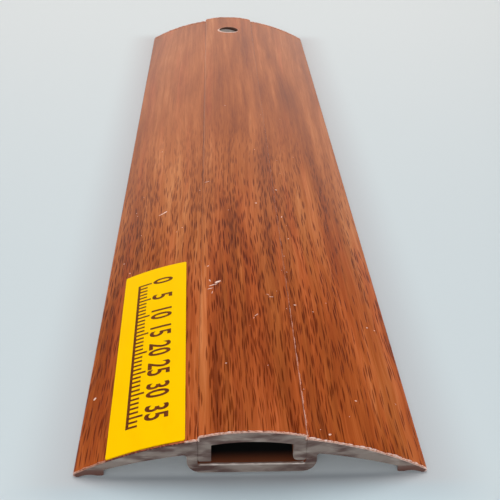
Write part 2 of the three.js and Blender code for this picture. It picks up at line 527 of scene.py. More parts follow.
    def _torn(self, graph: Graph, x: Value, y: Value, z: Value) -> tuple[Value, Value]:
        """Gives the pale torn foil along the sawn ends and round the hole, and the dark cut edge with
        its painted shadow.

        The pale share is left out under the label and small on the wing beyond it. There the foil's
        cut edge shows dark instead.
        """
        ragged = graph.noise((x * 2.6, y * 2.6, z * 2.6), 3.0, 0.7)
        low, high = self.label_x
        label = x.rise(high + 0.2, high - 0.2) * y.rise(0.0, -1.0)
        beyond = x.rise(low + 0.2, low - 0.2)
        from_end = self.half_length - abs(y)
        width = self.torn_width * 2.0 * ragged
        end = from_end.rise(width + 0.06, width - 0.06) * (1.0 - label * (0.95 - 0.45 * beyond))
        off_centre = y - self.hole_y
        radius = (x * x + off_centre * off_centre) ** 0.5
        # Painted highlight: the torn rim round the hole is wider and paler on its near left side.
        lit = (off_centre + x * 0.5).rise(1.5, -2.5)
        reach = 0.1 + 0.9 * lit * ragged
        rim = (radius - self.hole_radius).rise(reach + 0.1, reach - 0.1) * (0.3 + 0.6 * lit)
        return end.most(rim), from_end.rise(0.12, 0.06) * label * (1.0 - beyond)


@dataclass(frozen=True)
class SawnAluminium:
    """Mill-finish aluminium: drawn lines along the strip, dull sawn ends and a bright drilled hole.

    The sawn ends are smeared with melted foil. Just inside the near end the trough's floor goes from a
    brown stain at the cut to painted shade a few mm in.

    Attributes:
        half_length: Half of the strip's length in mm.
        trough_half_width: Half of the trough's inner width in mm.
        trough_floor: The height of the trough's floor in mm.
        hole_y: The hole's place along the strip in mm.
        hole_radius: The hole's radius in mm.
        drawn_colour: The colour of the extruded faces.
        drawn_line: The colour of the lines along them.
        sawn_colour: The colour of the sawn ends.
        sawn_line: The colour of their bare streaks.
        smear_colour: The colour of the melted foil on them.
        toe_colour: The colour of their lowest outer corners.
        lip_colour: The colour of the bright lip at the trough's floor: a pale burr with a painted
            highlight on it.
        stain_colour: The brown of the trough's floor at the saw cut, where the painted shade starts.
        soot_colour: The colour of the painted shade deeper inside the channel.
        soot_reach: How far in mm from the near end the stain and painted shade are full, and where they
            end.
        drilled_colour: The colour of the bare metal in the hole, and of the painted light round it
            inside the channel.
        burnt_colour: The colour of the painted shade on the drilled wall's top edge, which reaches lower
            on its right.
        bare_ring: The radii in mm where the painted light round the hole inside the channel is full, and
            where it ends.
        line_depth: How deep the lines look.
    """

    half_length: float
    trough_half_width: float
    trough_floor: float
    hole_y: float
    hole_radius: float
    drawn_colour: Colour = srgb(182, 178, 174)
    drawn_line: Colour = srgb(138, 134, 132)
    sawn_colour: Colour = srgb(152, 134, 124)
    sawn_line: Colour = srgb(192, 174, 162)
    smear_colour: Colour = srgb(98, 70, 64)
    toe_colour: Colour = srgb(116, 70, 58)
    lip_colour: Colour = srgb(236, 216, 204)
    stain_colour: Colour = srgb(178, 94, 54)
    soot_colour: Colour = srgb(6, 3, 2)
    soot_reach: tuple[float, float] = (5.5, 9.0)
    drilled_colour: Colour = srgb(246, 232, 222)
    burnt_colour: Colour = srgb(96, 66, 56)
    bare_ring: tuple[float, float] = (3.4, 5.0)
    line_depth: float = 0.006 * MM

    def build(self) -> bpy.types.Material:
        """Makes the material.

        Returns:
            The finished material.
        """
        graph = Graph.surface("sawn_aluminium")
        x, y, z = graph.place()
        sawn = (self.half_length - abs(y)).rise(0.05, 0.02)
        drawn_lines = graph.noise((x * 5.0, y * 0.02, z * 5.0), 3.0, 0.6)
        saw_lines = graph.noise((x * 0.6 + z * 1.2, z * 5.0 - x * 2.2, 0.0), 2.0, 0.6)
        smear = graph.noise((x * 0.22, z * 0.55, 4.0), 2.0, 0.5).rise(0.64, 0.36)
        pale = graph.noise((x * 0.3 + z * 0.2, z * 1.1, 9.0), 2.0, 0.5).rise(0.50, 0.72)
        outer = abs(x).rise(12.0, 19.0)
        end = graph.mix(smear * (1.0 - 0.5 * outer), self.sawn_colour, self.smear_colour)
        end = graph.mix(pale * 0.55 + saw_lines.rise(0.5, 0.85) * 0.2, end, self.sawn_line)
        pale_floor = abs(x).rise(5.6, 2.5) * z.rise(2.1, 1.8) * (0.3 + 0.7 * x.rise(-3.4, -1.2))
        end = graph.mix(pale_floor * 0.35, end, self.sawn_line)
        end = graph.mix(abs(x).rise(19.5, 21.0) * z.rise(1.9, 0.7) * 0.8, end, self.toe_colour)
        side = graph.mix(drawn_lines.rise(0.3, 0.7) * 0.35, self.drawn_colour, self.drawn_line)
        in_trough = abs(x).rise(self.trough_half_width + 0.1, self.trough_half_width - 0.05)
        above_floor = z.rise(self.trough_floor - 0.1, self.trough_floor - 0.02)
        from_end = self.half_length - abs(y)
        # Painted shade: the trough's floor goes from the brown stain at the saw cut to near black a few
        # mm in.
        stain = graph.mix(from_end.rise(0.0, 2.8), self.stain_colour, self.soot_colour)
        inside = in_trough * above_floor
        full, clean = self.soot_reach
        stain_and_shade = inside * y.rise(clean - self.half_length, full - self.half_length)
        side = graph.mix(stain_and_shade * 0.96, side, stain)
        off_centre = y - self.hole_y
        radius = (x * x + off_centre * off_centre) ** 0.5
        # Painted light: a pale, less metallic pool on the channel's inner faces round the hole, for
        # light that comes in through the hole and the open far end.
        bare = inside * radius.rise(self.bare_ring[1], self.bare_ring[0]) * 0.5
        side = graph.mix(bare, side, self.drilled_colour)
        drilled = (radius - self.hole_radius).rise(0.03, 0.01)
        # Painted shade: the drilled wall is dark along its top, lower towards its right.
        wall_shade = (z + x * 0.12).rise(6.95, 7.15)
        wall = graph.mix(wall_shade, self.drilled_colour, self.burnt_colour)
        side = graph.mix(drilled, side, wall)
        # The bright lip along the trough's floor at the cut: partly a pale burr, partly a painted
        # highlight.
        near_floor = abs(z - self.trough_floor).rise(0.18, 0.12)
        lip = near_floor * from_end.rise(0.4, 0.3) * abs(x).rise(7.6, 7.2)
        lip = lip * (0.55 + 0.45 * graph.noise((x * 0.35, 0.0, 3.0), 2.0).rise(0.4, 0.6))
        colour = graph.mix(lip, graph.mix(sawn, side, end), self.lip_colour)
        graph.finish(
            {
                "Base Color": colour,
                "Metallic": 0.75 - 0.45 * sawn.most(drilled).most(stain_and_shade).most(bare) - 0.3 * bare,
                "Roughness": 0.42 + 0.1 * sawn + 0.1 * smear,
            }
        )
        graph.bump(drawn_lines * (1.0 - sawn) + saw_lines * sawn, self.line_depth)
        return graph.material


@dataclass(frozen=True)
class TornFoil:
    """The crumbs and curls of foil that the saw leaves: pale pink with a little of the print.

    Attributes:
        name: The material's name.
        pale: The colour of the torn fibres.
        dusky: The colour where some of the print is left.
    """

    name: str = "torn_foil"
    pale: Colour = srgb(238, 206, 194)
    dusky: Colour = srgb(186, 120, 98)

    def build(self) -> bpy.types.Material:
        """Makes the material.

        Returns:
            The finished material.
        """
        graph = Graph.surface(self.name)
        x, y, z = graph.place()
        patch = graph.noise((x * 3.0, y * 3.0, z * 3.0), 3.0, 0.6)
        graph.finish(
            {
                "Base Color": graph.mix(patch.rise(0.44, 0.66), self.pale, self.dusky),
                "Roughness": 0.35 + 0.2 * patch,
            }
        )
        graph.bump(patch, 0.02 * MM)
        return graph.material


@dataclass(frozen=True)
class YellowTape:
    """Satin yellow label tape with a faint cloud in its colour.

    Attributes:
        colour: The tape's colour.
        dull: Its colour in the cloud.
    """

    colour: Colour = (1.0, 0.565, 0.0, 1.0)
    dull: Colour = (0.95, 0.51, 0.0, 1.0)

    def build(self) -> bpy.types.Material:
        """Makes the material.

        Returns:
            The finished material.
        """
        graph = Graph.surface("yellow_tape")
        x, y, z = graph.place()
        cloud = graph.noise((x * 0.35, y * 0.12, z * 0.35), 3.0, 0.5)
        tooth = graph.noise((x * 9.0, y * 9.0, z * 9.0), 2.0, 0.5)
        graph.finish(
            {
                "Base Color": graph.mix(cloud.rise(0.45, 0.8) * 0.5, self.colour, self.dull),
                "Roughness": 0.25 + 0.08 * tooth,
                "Specular IOR Level": 0.03,
            }
        )
        graph.bump(tooth, 0.003 * MM)
        return graph.material


@dataclass(frozen=True)
class BrownPrint:
    """The tape's dark brown print, thinner here and there so that the tape glows through.

    Attributes:
        ink: The print's colour.
        thin_ink: Its colour where it is thin.
    """

    ink: Colour = srgb(92, 38, 4)
    thin_ink: Colour = srgb(132, 66, 6)

    def build(self) -> bpy.types.Material:
        """Makes the material.

        Returns:
            The finished material.
        """
        graph = Graph.surface("brown_print")
        x, y, z = graph.place()
        cover = graph.noise((x * 2.0, y * 2.0, z * 2.0), 3.0, 0.6)
        graph.finish(
            {
                "Base Color": graph.mix(cover.rise(0.4, 0.75), self.ink, self.thin_ink),
                "Roughness": 0.4 + 0.15 * cover,
                "Specular IOR Level": 0.3,
            }
        )
        graph.bump(cover, 0.002 * MM)
        return graph.material


class Side(Enum):
    """The two wings, by the sign of X."""

    LEFT = -1
    RIGHT = 1


class End(Enum):
    """The two sawn ends, by the sign of Y."""

    NEAR = -1
    FAR = 1


class Slot(Enum):
    """The record's material slots."""

    ALUMINIUM = "aluminium"
    WALNUT = "walnut_foil"
    LABEL = "label_tape"


class Body(Enum):
    """The record's bodies."""

    BASE = "base"
    COVER = "cover"


def skin(
    name: str, outer: np.ndarray, inner: np.ndarray, keep: np.ndarray | None = None
) -> bpy.types.Object:
    """Makes a closed thin skin from two grids of points and walls along every free edge.

    A kept cell gives a face on the outer grid and its reverse on the inner one. A side of a kept cell
    whose neighbour isn't kept gives a wall between the two grids.

    Args:
        name: The piece's name.
        outer: The outer face's points, rows by columns by 3.
        inner: The inner face's points, in the same order.
        keep: Which cells of the grid there are. All, if it is left out.

    Returns:
        The piece.
    """
    rows, columns = outer.shape[:2]
    kept = np.ones((rows - 1, columns - 1), bool) if keep is None else keep
    at = np.arange(rows * columns).reshape(rows, columns)
    corners = [at[:-1, :-1], at[:-1, 1:], at[1:, 1:], at[1:, :-1]]
    padded = np.pad(kept, 1)
    neighbours = [padded[:-2, 1:-1], padded[1:-1, 2:], padded[2:, 1:-1], padded[1:-1, :-2]]
    below = rows * columns
    faces = [np.stack([corner[kept] for corner in corners], axis=1)]
    faces.append(faces[0][:, ::-1] + below)
    for side, neighbour in enumerate(neighbours):
        free = kept & ~neighbour
        first, second = corners[side][free], corners[(side + 1) % 4][free]
        faces.append(np.stack([second, first, first + below, second + below], axis=1))
    quads = np.concatenate(faces)
    used, quads = np.unique(quads, return_inverse=True)
    points = np.concatenate([outer.reshape(-1, 3), inner.reshape(-1, 3)])[used]
    return piece_from(name, points, quads.reshape(-1, 4).tolist())


def capped_faces(rings: int, sides: int) -> tuple[np.ndarray, np.ndarray]:
    """Lists the faces of a row of rings that closes on one point at each end.

    The points are numbered ring by ring, and the two end points come last.

    Args:
        rings: The number of rings.
        sides: The number of points in a ring.

    Returns:
        The walls between the rings, of four points, and the caps, of three.
    """
    at = np.arange(rings * sides).reshape(rings, sides)
    after = np.roll(at, -1, axis=1)
    walls = np.stack([at[:-1], at[1:], after[1:], after[:-1]], axis=-1).reshape(-1, 4)
    first = np.stack([np.full(sides, at.size), at[0], after[0]], axis=1)
    last = np.stack([np.full(sides, at.size + 1), after[-1], at[-1]], axis=1)
    return walls, np.concatenate([first, last])


def tube_shape(
    centres: np.ndarray, radii: np.ndarray, across: np.ndarray, sides: int = 8
) -> tuple[np.ndarray, list[list[int]]]:
    """Works out a closed lumpy tube along a path that lies square to one direction.

    A ring's point at angle a is the path's point plus the radius times the sum of the path's normal
    times cos a and the given direction times sin a. Each end closes on a point.

    Args:
        centres: The path's points.
        radii: The radius at each point.
        across: The direction that the path is square to.
        sides: The number of points in a ring.

    Returns:
        The points and the faces.
    """
    tangent = np.gradient(centres, axis=0)
    tangent -= np.outer(tangent @ across, across)
    tangent /= np.linalg.norm(tangent, axis=1, keepdims=True)
    normal = np.cross(tangent, across)
    angle = np.linspace(0, 2 * math.pi, sides, endpoint=False)
    turned = normal[:, None] * np.cos(angle)[None, :, None] + across * np.sin(angle)[None, :, None]
    rings = centres[:, None] + radii[:, None, None] * turned
    walls, caps = capped_faces(len(centres), sides)
    points = np.concatenate([rings.reshape(-1, 3), centres[[0, -1]]])
    return points, walls.tolist() + caps.tolist()


def walked(path: np.ndarray) -> np.ndarray:
    """Gives the distance from a path's start to each of its points, which are X and Z."""
    step = np.hypot(*np.diff(path, axis=0).T)
    return np.concatenate([[0], np.cumsum(step)])


def end_tube(
    path: np.ndarray,
    end: End,
    half_length: float,
    radius: Callable[[np.ndarray], np.ndarray],
    least: int,
    spacing: float = 0.12 * MM,
) -> tuple[np.ndarray, list[list[int]]]:
    """Works out a tube that follows a path on a sawn end and lies just inside it.

    The tube's middle is the path's point, one radius in from the end along Y.

    Args:
        path: The path's points, as X and Z.
        end: The sawn end.
        half_length: Half of the strip's length.
        radius: Gives the tube's radius at distances along the path.
        least: The least number of rings, for a short path.
        spacing: The distance between rings on a long path.

    Returns:
        The points and the faces.
    """
    along = walked(path)
    even = np.linspace(0, along[-1], max(least, round(along[-1] / spacing)))
    x, z = (np.interp(even, along, path[:, axis]) for axis in (0, 1))
    radii = radius(even)
    centres = np.stack([x, end.value * (half_length - radii), z], axis=1)
    return tube_shape(centres, radii, np.array([0.0, 1.0, 0.0]))


def grains(
    long: np.ndarray, wide: np.ndarray, high: np.ndarray, rings: int = 5, sides: int = 8
) -> tuple[np.ndarray, list[list[int]]]:
    """Works out many small ellipsoids from their half axes.

    A point of the unit sphere at polar angle p and round angle r becomes the long axis times
    sin p cos r, plus the wide axis times sin p sin r, plus the high axis times cos p.

    Args:
        long: Each grain's long half axis, one row each.
        wide: Each grain's wide half axis.
        high: Each grain's high half axis.
        rings: The number of steps from pole to pole.
        sides: The number of steps round.

    Returns:
        The points about each grain's own middle, grains by points by 3, and the faces.
    """
    polar = np.linspace(0, math.pi, rings)[1:-1]
    around = np.linspace(0, 2 * math.pi, sides, endpoint=False)
    along = np.append(np.outer(np.sin(polar), np.cos(around)), [0, 0])
    across = np.append(np.outer(np.sin(polar), np.sin(around)), [0, 0])
    up = np.append(np.outer(np.cos(polar), np.ones(sides)), [1, -1])
    parts = ((long, along), (wide, across), (high, up))
    points = sum(axis[:, None] * share[None, :, None] for axis, share in parts)
    shift = np.arange(len(long))[:, None, None] * len(up)
    faces: list[list[int]] = []
    for kind in capped_faces(len(polar), sides):
        faces += (kind[None] + shift).reshape(-1, kind.shape[1]).tolist()
    return points, faces


def piece_from(
    name: str, points: np.ndarray, faces: list[list[int]], crease: float = 40.0
) -> bpy.types.Object:
    """Puts points and faces into a mesh object, smooth but for its sharp edges.

    Args:
        name: The piece's name.
        points: The points, one row each.
        faces: The faces, each a list of point numbers.
        crease: The angle in degrees above which an edge is sharp. A lumpy piece takes LUMPY_CREASE.

    Returns:
        The piece, which stands at the origin.
    """
    mesh = bpy.data.meshes.new(name)
    mesh.from_pydata(points.tolist(), [], faces)
    working = bmesh.new()
    working.from_mesh(mesh)
    bmesh.ops.recalc_face_normals(working, faces=working.faces)
    working.to_mesh(mesh)
    working.free()
    mesh.polygons.foreach_set("use_smooth", [True] * len(mesh.polygons))
    mesh.set_sharp_from_angle(angle=math.radians(crease))
    made = bpy.data.objects.new(name, mesh)
    bpy.context.scene.collection.objects.link(made)
    return made


def dress(piece: bpy.types.Object, material: bpy.types.Material) -> None:
    """Gives a piece one material in place of all it had."""
    piece.data.materials.clear()
    piece.data.materials.append(material)


def fit(
    piece: bpy.types.Object, material: bpy.types.Material, body: Body
) -> bpy.types.Object:
    """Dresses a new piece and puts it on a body.

    Args:
        piece: The piece.
        material: Its material.
        body: The body that it rides on.

    Returns:
        The same piece.
    """
    dress(piece, material)
    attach(piece, body.value)
    return piece


def ripple(places: np.ndarray, seed: int, wave: float, layers: int = 4) -> np.ndarray:
    """Adds up sine waves of random phase, each half as long and 0.6 times as high as the last.

    Args:
        places: The places along a line, in metres.
        seed: The random seed.
        wave: The longest wave's length in metres.
        layers: The number of waves.

    Returns:
        A value from about -1 to 1 at each place.
    """
    random = np.random.default_rng(seed)
    total = np.zeros_like(places)
    weight = 0.0
    for layer in range(layers):
        strength = 0.6**layer
        stretch = 2**layer * random.uniform(0.85, 1.15)
        total += strength * np.sin(2 * math.pi * places / wave * stretch + random.uniform(0, 6.28))
        weight += strength
    return total / weight * 1.6


@dataclass
class FoilEnds:
    """How the saw left the foil's ends: a ragged line, pressed down towards the cut.

    Attributes:
        length: The strip's length.
        inset: How far the line stays inside the sawn end.
        ragged: How far the line wanders along the strip.
        sink: How far the foil is pressed down at the cut.
        reach: How far from the end that reaches.
    """

    length: float
    inset: float = 0.03 * MM
    ragged: float = 0.07 * MM
    sink: float = 0.09 * MM
    reach: float = 0.16 * MM

    def rows(self, middle_step: float = 4 * MM) -> np.ndarray:
        """Gives the places of a foil's rows along the strip, close together at both ends.

        Args:
            middle_step: The distance between rows away from the ends.

        Returns:
            The places in order.
        """
        near = np.array([0, 0.04, 0.09, 0.16, 0.26, 0.42, 0.7, 1.2, 2.0]) * MM
        half = self.length / 2
        middle = np.linspace(-half + 4 * MM, half - 4 * MM, round(self.length / middle_step))
        return np.concatenate([near - half, middle, half - near[::-1]])

    def shape(self, along: np.ndarray, across: np.ndarray, seed: int) -> tuple[np.ndarray, np.ndarray]:
        """Works out the ends' displacement on a grid.

        The shift inwards is the inset plus the size of a ripple over the width, and the sinking is 0.7
        plus 0.3 times another ripple. Both fall off as e to the minus distance from the end over the
        reach.

        Args:
            along: The rows' places along the strip.
            across: The columns' places across it.
            seed: The random seed.

        Returns:
            The shift along Y and the depth of the sinking, rows by columns.
        """
        shift = np.zeros((len(along), len(across)))
        depth = np.zeros_like(shift)
        for number, end in enumerate(End):
            fall = np.exp(-(self.length / 2 - end.value * along) / self.reach)[:, None]
            inward = self.inset + self.ragged * np.abs(ripple(across, seed + number, 1.6 * MM))
            shift -= end.value * fall * inward[None]
            pressed = 0.7 + 0.3 * ripple(across, seed + 10 + number, 1.1 * MM)
            depth += self.sink * fall * pressed[None]
        return shift, depth


@dataclass
class WingFoil:
    """The foil on one wing: an arc from the seam out to the edge, and round the nose to the floor.

    Attributes:
        side: The wing it is on.
        half_width: Half of the strip's width.
        seam: The foil's inner edge.
        ends: How its ends are torn.
        crown: The height at which the two wings' arcs meet over the middle.
        nose: The nose's radius over the foil.
        thickness: The foil's thickness.
        columns: The number of points on the arc.
        nose_columns: The number of steps round the nose.
    """

    side: Side
    half_width: float
    seam: float
    ends: FoilEnds
    crown: float = 7.1 * MM
    nose: float = 0.35 * MM
    thickness: float = 0.2 * MM
    columns: int = 120
    nose_columns: int = 10

    @property
    def node(self) -> str:
        """Names the CAD node that the foil stands for."""
        return f"{self.side.name.lower()}_wing_foil"

    @property
    def radius(self) -> float:
        """Gives the radius of the circle over the crown that the nose's circle touches from inside."""
        nose_x = self.half_width - self.nose
        rise = self.crown - self.nose
        return (nose_x**2 + rise**2 - self.nose**2) / (2 * (self.crown - 2 * self.nose))

    @property
    def centre(self) -> float:
        """Gives the height of that circle's centre."""
        return self.crown - self.radius

    def height(self, x: np.ndarray) -> np.ndarray:
        """Gives the foil's height over the floor at a distance from the middle plane."""
        return self.centre + np.sqrt(self.radius**2 - np.square(x))

    def outline(self) -> tuple[np.ndarray, np.ndarray]:
        """Gives the section's points and the directions that point out of it.

        The first stretch is the arc, at equal angles from the seam to the point where it touches the
        nose. The second is the nose's circle, on to its lowest point.

        Returns:
            The points and the outward directions, as X and Z, one row each.
        """
        nose_x = self.half_width - self.nose
        touch = math.asin(nose_x / (self.radius - self.nose))
        arc = np.linspace(math.asin(self.seam / self.radius), touch, self.columns)
        turn = np.linspace(touch, math.pi, self.nose_columns + 1)[1:]
        angle = np.concatenate([arc, turn])
        out = np.stack([np.sin(angle), np.cos(angle)], axis=1)
        on_arc = (np.arange(len(angle)) < len(arc))[:, None]
        points = np.where(on_arc, [0, self.centre], [nose_x, self.nose])
        points = points + out * np.where(on_arc, self.radius, self.nose)
        return points, out

    def build(self, material: bpy.types.Material) -> bpy.types.Object:
        """Makes the foil's skin.

        Args:
            material: The foil's material.

        Returns:
            The piece.
        """
        points, out = self.outline()
        rows = self.ends.rows()
        shift, depth = self.ends.shape(rows, points[:, 0], 20 + self.side.value)
        grid = np.zeros((len(rows), len(points), 3))
        grid[..., 0] = self.side.value * points[:, 0]
        grid[..., 1] = rows[:, None] + shift
        grid[..., 2] = points[:, 1]
        away = np.stack([self.side.value * out[:, 0], 0 * out[:, 0], out[:, 1]], axis=1)
        on_top = np.clip(out[:, 1], 0, 1)[None]
        outer = grid - away * (depth * on_top)[..., None]
        made = skin(f"{self.node}_skin", outer, grid - away * self.thickness)
        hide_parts(self.node)
        return fit(made, material, Body.BASE)


@dataclass
class CoverFoil:
    """The foil on the cover: a low arch, turned down over both edges, with a hole through it.

    Attributes:
        half_width: Half of the cover's width.
        crown: The height of its top over the floor.
        ends: How its ends are torn.
        hole_y: The hole's place along the strip.
        hole_radius: The hole's radius.
        rise: How much higher the middle is than the arch's edges would be.
        corner: The radius of its turned edges.
        turn_down: How far the foil runs down past the corner's middle.
        thickness: The foil's thickness.
        window: Half of the side of the square in which the grid bends round the hole.
        window_cells: The number of cells in that half side.
        hole_cells: How many of those lie inside the hole.
    """

    half_width: float
    crown: float
    ends: FoilEnds
    hole_y: float
    hole_radius: float
    rise: float = 0.9 * MM
    corner: float = 0.23 * MM
    turn_down: float = 0.6 * MM
    thickness: float = 0.2 * MM
    window: float = 5 * MM
    window_cells: int = 20
    hole_cells: int = 10

    @property
    def radius(self) -> float:
        """Gives the arch's radius from its width and rise."""
        return (self.half_width**2 + self.rise**2) / (2 * self.rise)

    def height(self, x: np.ndarray) -> np.ndarray:
        """Gives the arch's height over the floor at a distance from the middle plane."""
        return self.crown - self.radius + np.sqrt(self.radius**2 - np.square(x))

    def flake_height(self, x: np.ndarray) -> np.ndarray:
        """Gives the arch's height, held so far below its crown that no flake passes it."""
        return np.minimum(self.height(x), self.crown - 0.05 * MM)

    def _columns(self) -> tuple[np.ndarray, np.ndarray, np.ndarray]:
        """Gives the section from edge to edge.

        Returns:
            The points as X and Z, the outward directions, and which columns lie on the arch.
        """
        centre = self.crown - self.radius
        corner_x = self.half_width - self.corner
        touch = math.asin(corner_x / (self.radius - self.corner))
        corner_z = centre + (self.radius - self.corner) * math.cos(touch)
        inside = np.linspace(0, self.window, self.window_cells + 1)
        beyond = np.linspace(self.window, self.radius * math.sin(touch), 14)[1:]
        arch_x = np.concatenate([inside, beyond])
        arch_angle = np.arcsin(arch_x / self.radius)
        turn = np.linspace(touch, math.pi / 2, 7)[1:]
        angle = np.concatenate([arch_angle, turn, np.full(4, math.pi / 2)])
        out = np.stack([np.sin(angle), np.cos(angle)], axis=1)
        arch = np.arange(len(angle)) < len(arch_x)
        points = np.where(arch[:, None], [0, centre], [corner_x, corner_z])
        points = points + out * np.where(arch, self.radius, self.corner)[:, None]
        points[-4:, 1] -= np.linspace(0, self.turn_down, 5)[1:]
        mirror = np.array([-1, 1])
        points = np.concatenate([points[:0:-1] * mirror, points])
        out = np.concatenate([out[:0:-1] * mirror, out])
        return points, out, np.concatenate([arch[:0:-1], arch])

    def _round_hole(self, x: np.ndarray, y: np.ndarray) -> tuple[np.ndarray, np.ndarray, np.ndarray]:
        """Bends the grid's square rings round the hole.

        A point's ring is its larger offset from the hole's middle, as a share of the window. From the
        ring that becomes the hole's edge out to the window, the point goes from the circle, in its own
        direction, to its own place.

        Args:
            x: The grid's places across the strip.
            y: The grid's places along it.

        Returns:
            The bent X and Y, and which points lie on or outside the hole's edge.
        """
        off = y - self.hole_y
        ring = np.maximum(np.abs(x), np.abs(off)) / self.window
        edge = self.hole_cells / self.window_cells
        share = np.clip((ring - edge) / (1 - edge), 0, 1)
        inside = ring < 1
        reach = np.maximum(np.hypot(x, off), 1e-9)
        bent_x = np.where(inside, (1 - share) * self.hole_radius * x / reach + share * x, x)
        bent_y = np.where(inside, (1 - share) * self.hole_radius * off / reach + share * off, off)
        return bent_x, bent_y + self.hole_y, ring > edge - 1e-6

    def build(self, material: bpy.types.Material) -> bpy.types.Object:
        """Makes the foil's skin.

        Args:
            material: The foil's material.

        Returns:
            The piece.
        """
        points, out, arch = self._columns()
        step = np.linspace(-self.window, self.window, 2 * self.window_cells + 1)
        plain = self.ends.rows()
        plain = plain[np.abs(plain - self.hole_y) > self.window + 0.5 * MM]
        rows = np.sort(np.concatenate([plain, self.hole_y + step]))
        shift, depth = self.ends.shape(rows, points[:, 0], 40)
        x = np.broadcast_to(points[:, 0], shift.shape)
        y = np.broadcast_to(rows[:, None], shift.shape)
        x, y, solid = self._round_hole(x, y)
        arch_height = self.height(np.clip(x, -self.half_width, self.half_width))
        z = np.where(arch[None], arch_height, points[:, 1])
        away = np.stack([out[:, 0], 0 * out[:, 0], out[:, 1]], axis=1)
        grid = np.stack([x, y + shift, z], axis=-1)
        outer = grid - away * (depth * np.clip(out[:, 1], 0, 1))[..., None]
        cells = solid[:-1, :-1] & solid[1:, :-1] & solid[:-1, 1:] & solid[1:, 1:]
        made = skin("cover_foil_skin", outer, grid - away * self.thickness, cells)
        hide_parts("cover_foil")
        return fit(made, material, Body.COVER)


@dataclass
class TornEdge:
    """A thin torn line along a sawn edge, with slanted strands of foil curled over it.

    Attributes:
        name: The piece's name.
        body: The body it rides on.
        path: The edge's points, as X and Z.
        end: The sawn end that it is on.
        half_length: Half of the strip's length.
        top: The height that no strand may pass.
        strength: How thick the strands are at each point, from 0 to 1.
        seed: The random seed.
        line: The thin line's radius.
        thick: A strand's radius.
        reach: A strand's half length.
        spacing: The distance between strands.
        tilt: How far a strand turns from the edge towards the level, in degrees.
        level_slope: The slope of the edge from which on a strand turns by the whole tilt.
    """

    name: str
    body: Body
    path: np.ndarray
    end: End
    half_length: float
    top: float
    strength: np.ndarray
    seed: int
    line: float = 0.125 * MM
    thick: float = 0.155 * MM
    reach: float = 0.46 * MM
    spacing: float = 0.92 * MM
    tilt: float = 12.0
    level_slope: float = 0.15

    def _line_radius(self, along: np.ndarray) -> np.ndarray:
        """Gives the thin line's radius, which swells and shrinks along the edge."""
        return self.line * np.clip(0.8 + 0.4 * ripple(along, self.seed, 2.3 * MM), 0.35, 1.2)

    def build(
        self, line_look: bpy.types.Material, strand_look: bpy.types.Material
    ) -> list[bpy.types.Object]:
        """Makes the line, a thin uneven tube, and an ellipsoid for each strand.

        A strand lies in the end's plane, along the edge turned by the tilt towards the level, and its
        place, length and thickness each vary by a random share.

        Args:
            line_look: The line's material.
            strand_look: The strands' material.

        Returns:
            The two pieces.
        """
        line = end_tube(self.path, self.end, self.half_length, self._line_radius, 24)
        along = walked(self.path)
        random = np.random.default_rng(self.seed)
        count = max(2, round(along[-1] / self.spacing))
        at = (np.arange(count) + 0.5 + random.uniform(-0.3, 0.3, count)) * along[-1] / count
        strength = np.interp(at, along, self.strength) * random.uniform(0.6, 1.15, count)
        x, z = (np.interp(at, along, self.path[:, axis]) for axis in (0, 1))
        slope = np.arctan(np.interp(x, self.path[:, 0], np.gradient(self.path[:, 1], self.path[:, 0])))
        turned = np.radians(self.tilt) * np.clip(np.abs(slope) / self.level_slope, 0, 1)
        lean = slope - np.sign(slope) * turned
        level = np.zeros(count)
        long = np.stack([np.cos(lean), level, np.sin(lean)], axis=1) * (self.reach * strength)[:, None]
        high = np.stack([-np.sin(lean), level, np.cos(lean)], axis=1) * (self.thick * strength)[:, None]
        deep = np.stack([level, self.thick * strength, level], axis=1)
        strands, faces = grains(long, deep, high, 7, 8)
        strands += np.stack([x, self.end.value * (self.half_length - deep[:, 1]), z], axis=1)[:, None]
        made = []
        for kind, (points, faces), look in (
            ("line", line, line_look),
            ("strands", (strands.reshape(-1, 3), faces), strand_look),
        ):
            points[:, 1] = np.clip(points[:, 1], -self.half_length, self.half_length)
            points[:, 2] = np.minimum(points[:, 2], self.top)
            piece = piece_from(f"{self.name}_{kind}", points, faces, LUMPY_CREASE)
            made.append(fit(piece, look, self.body))
        return made


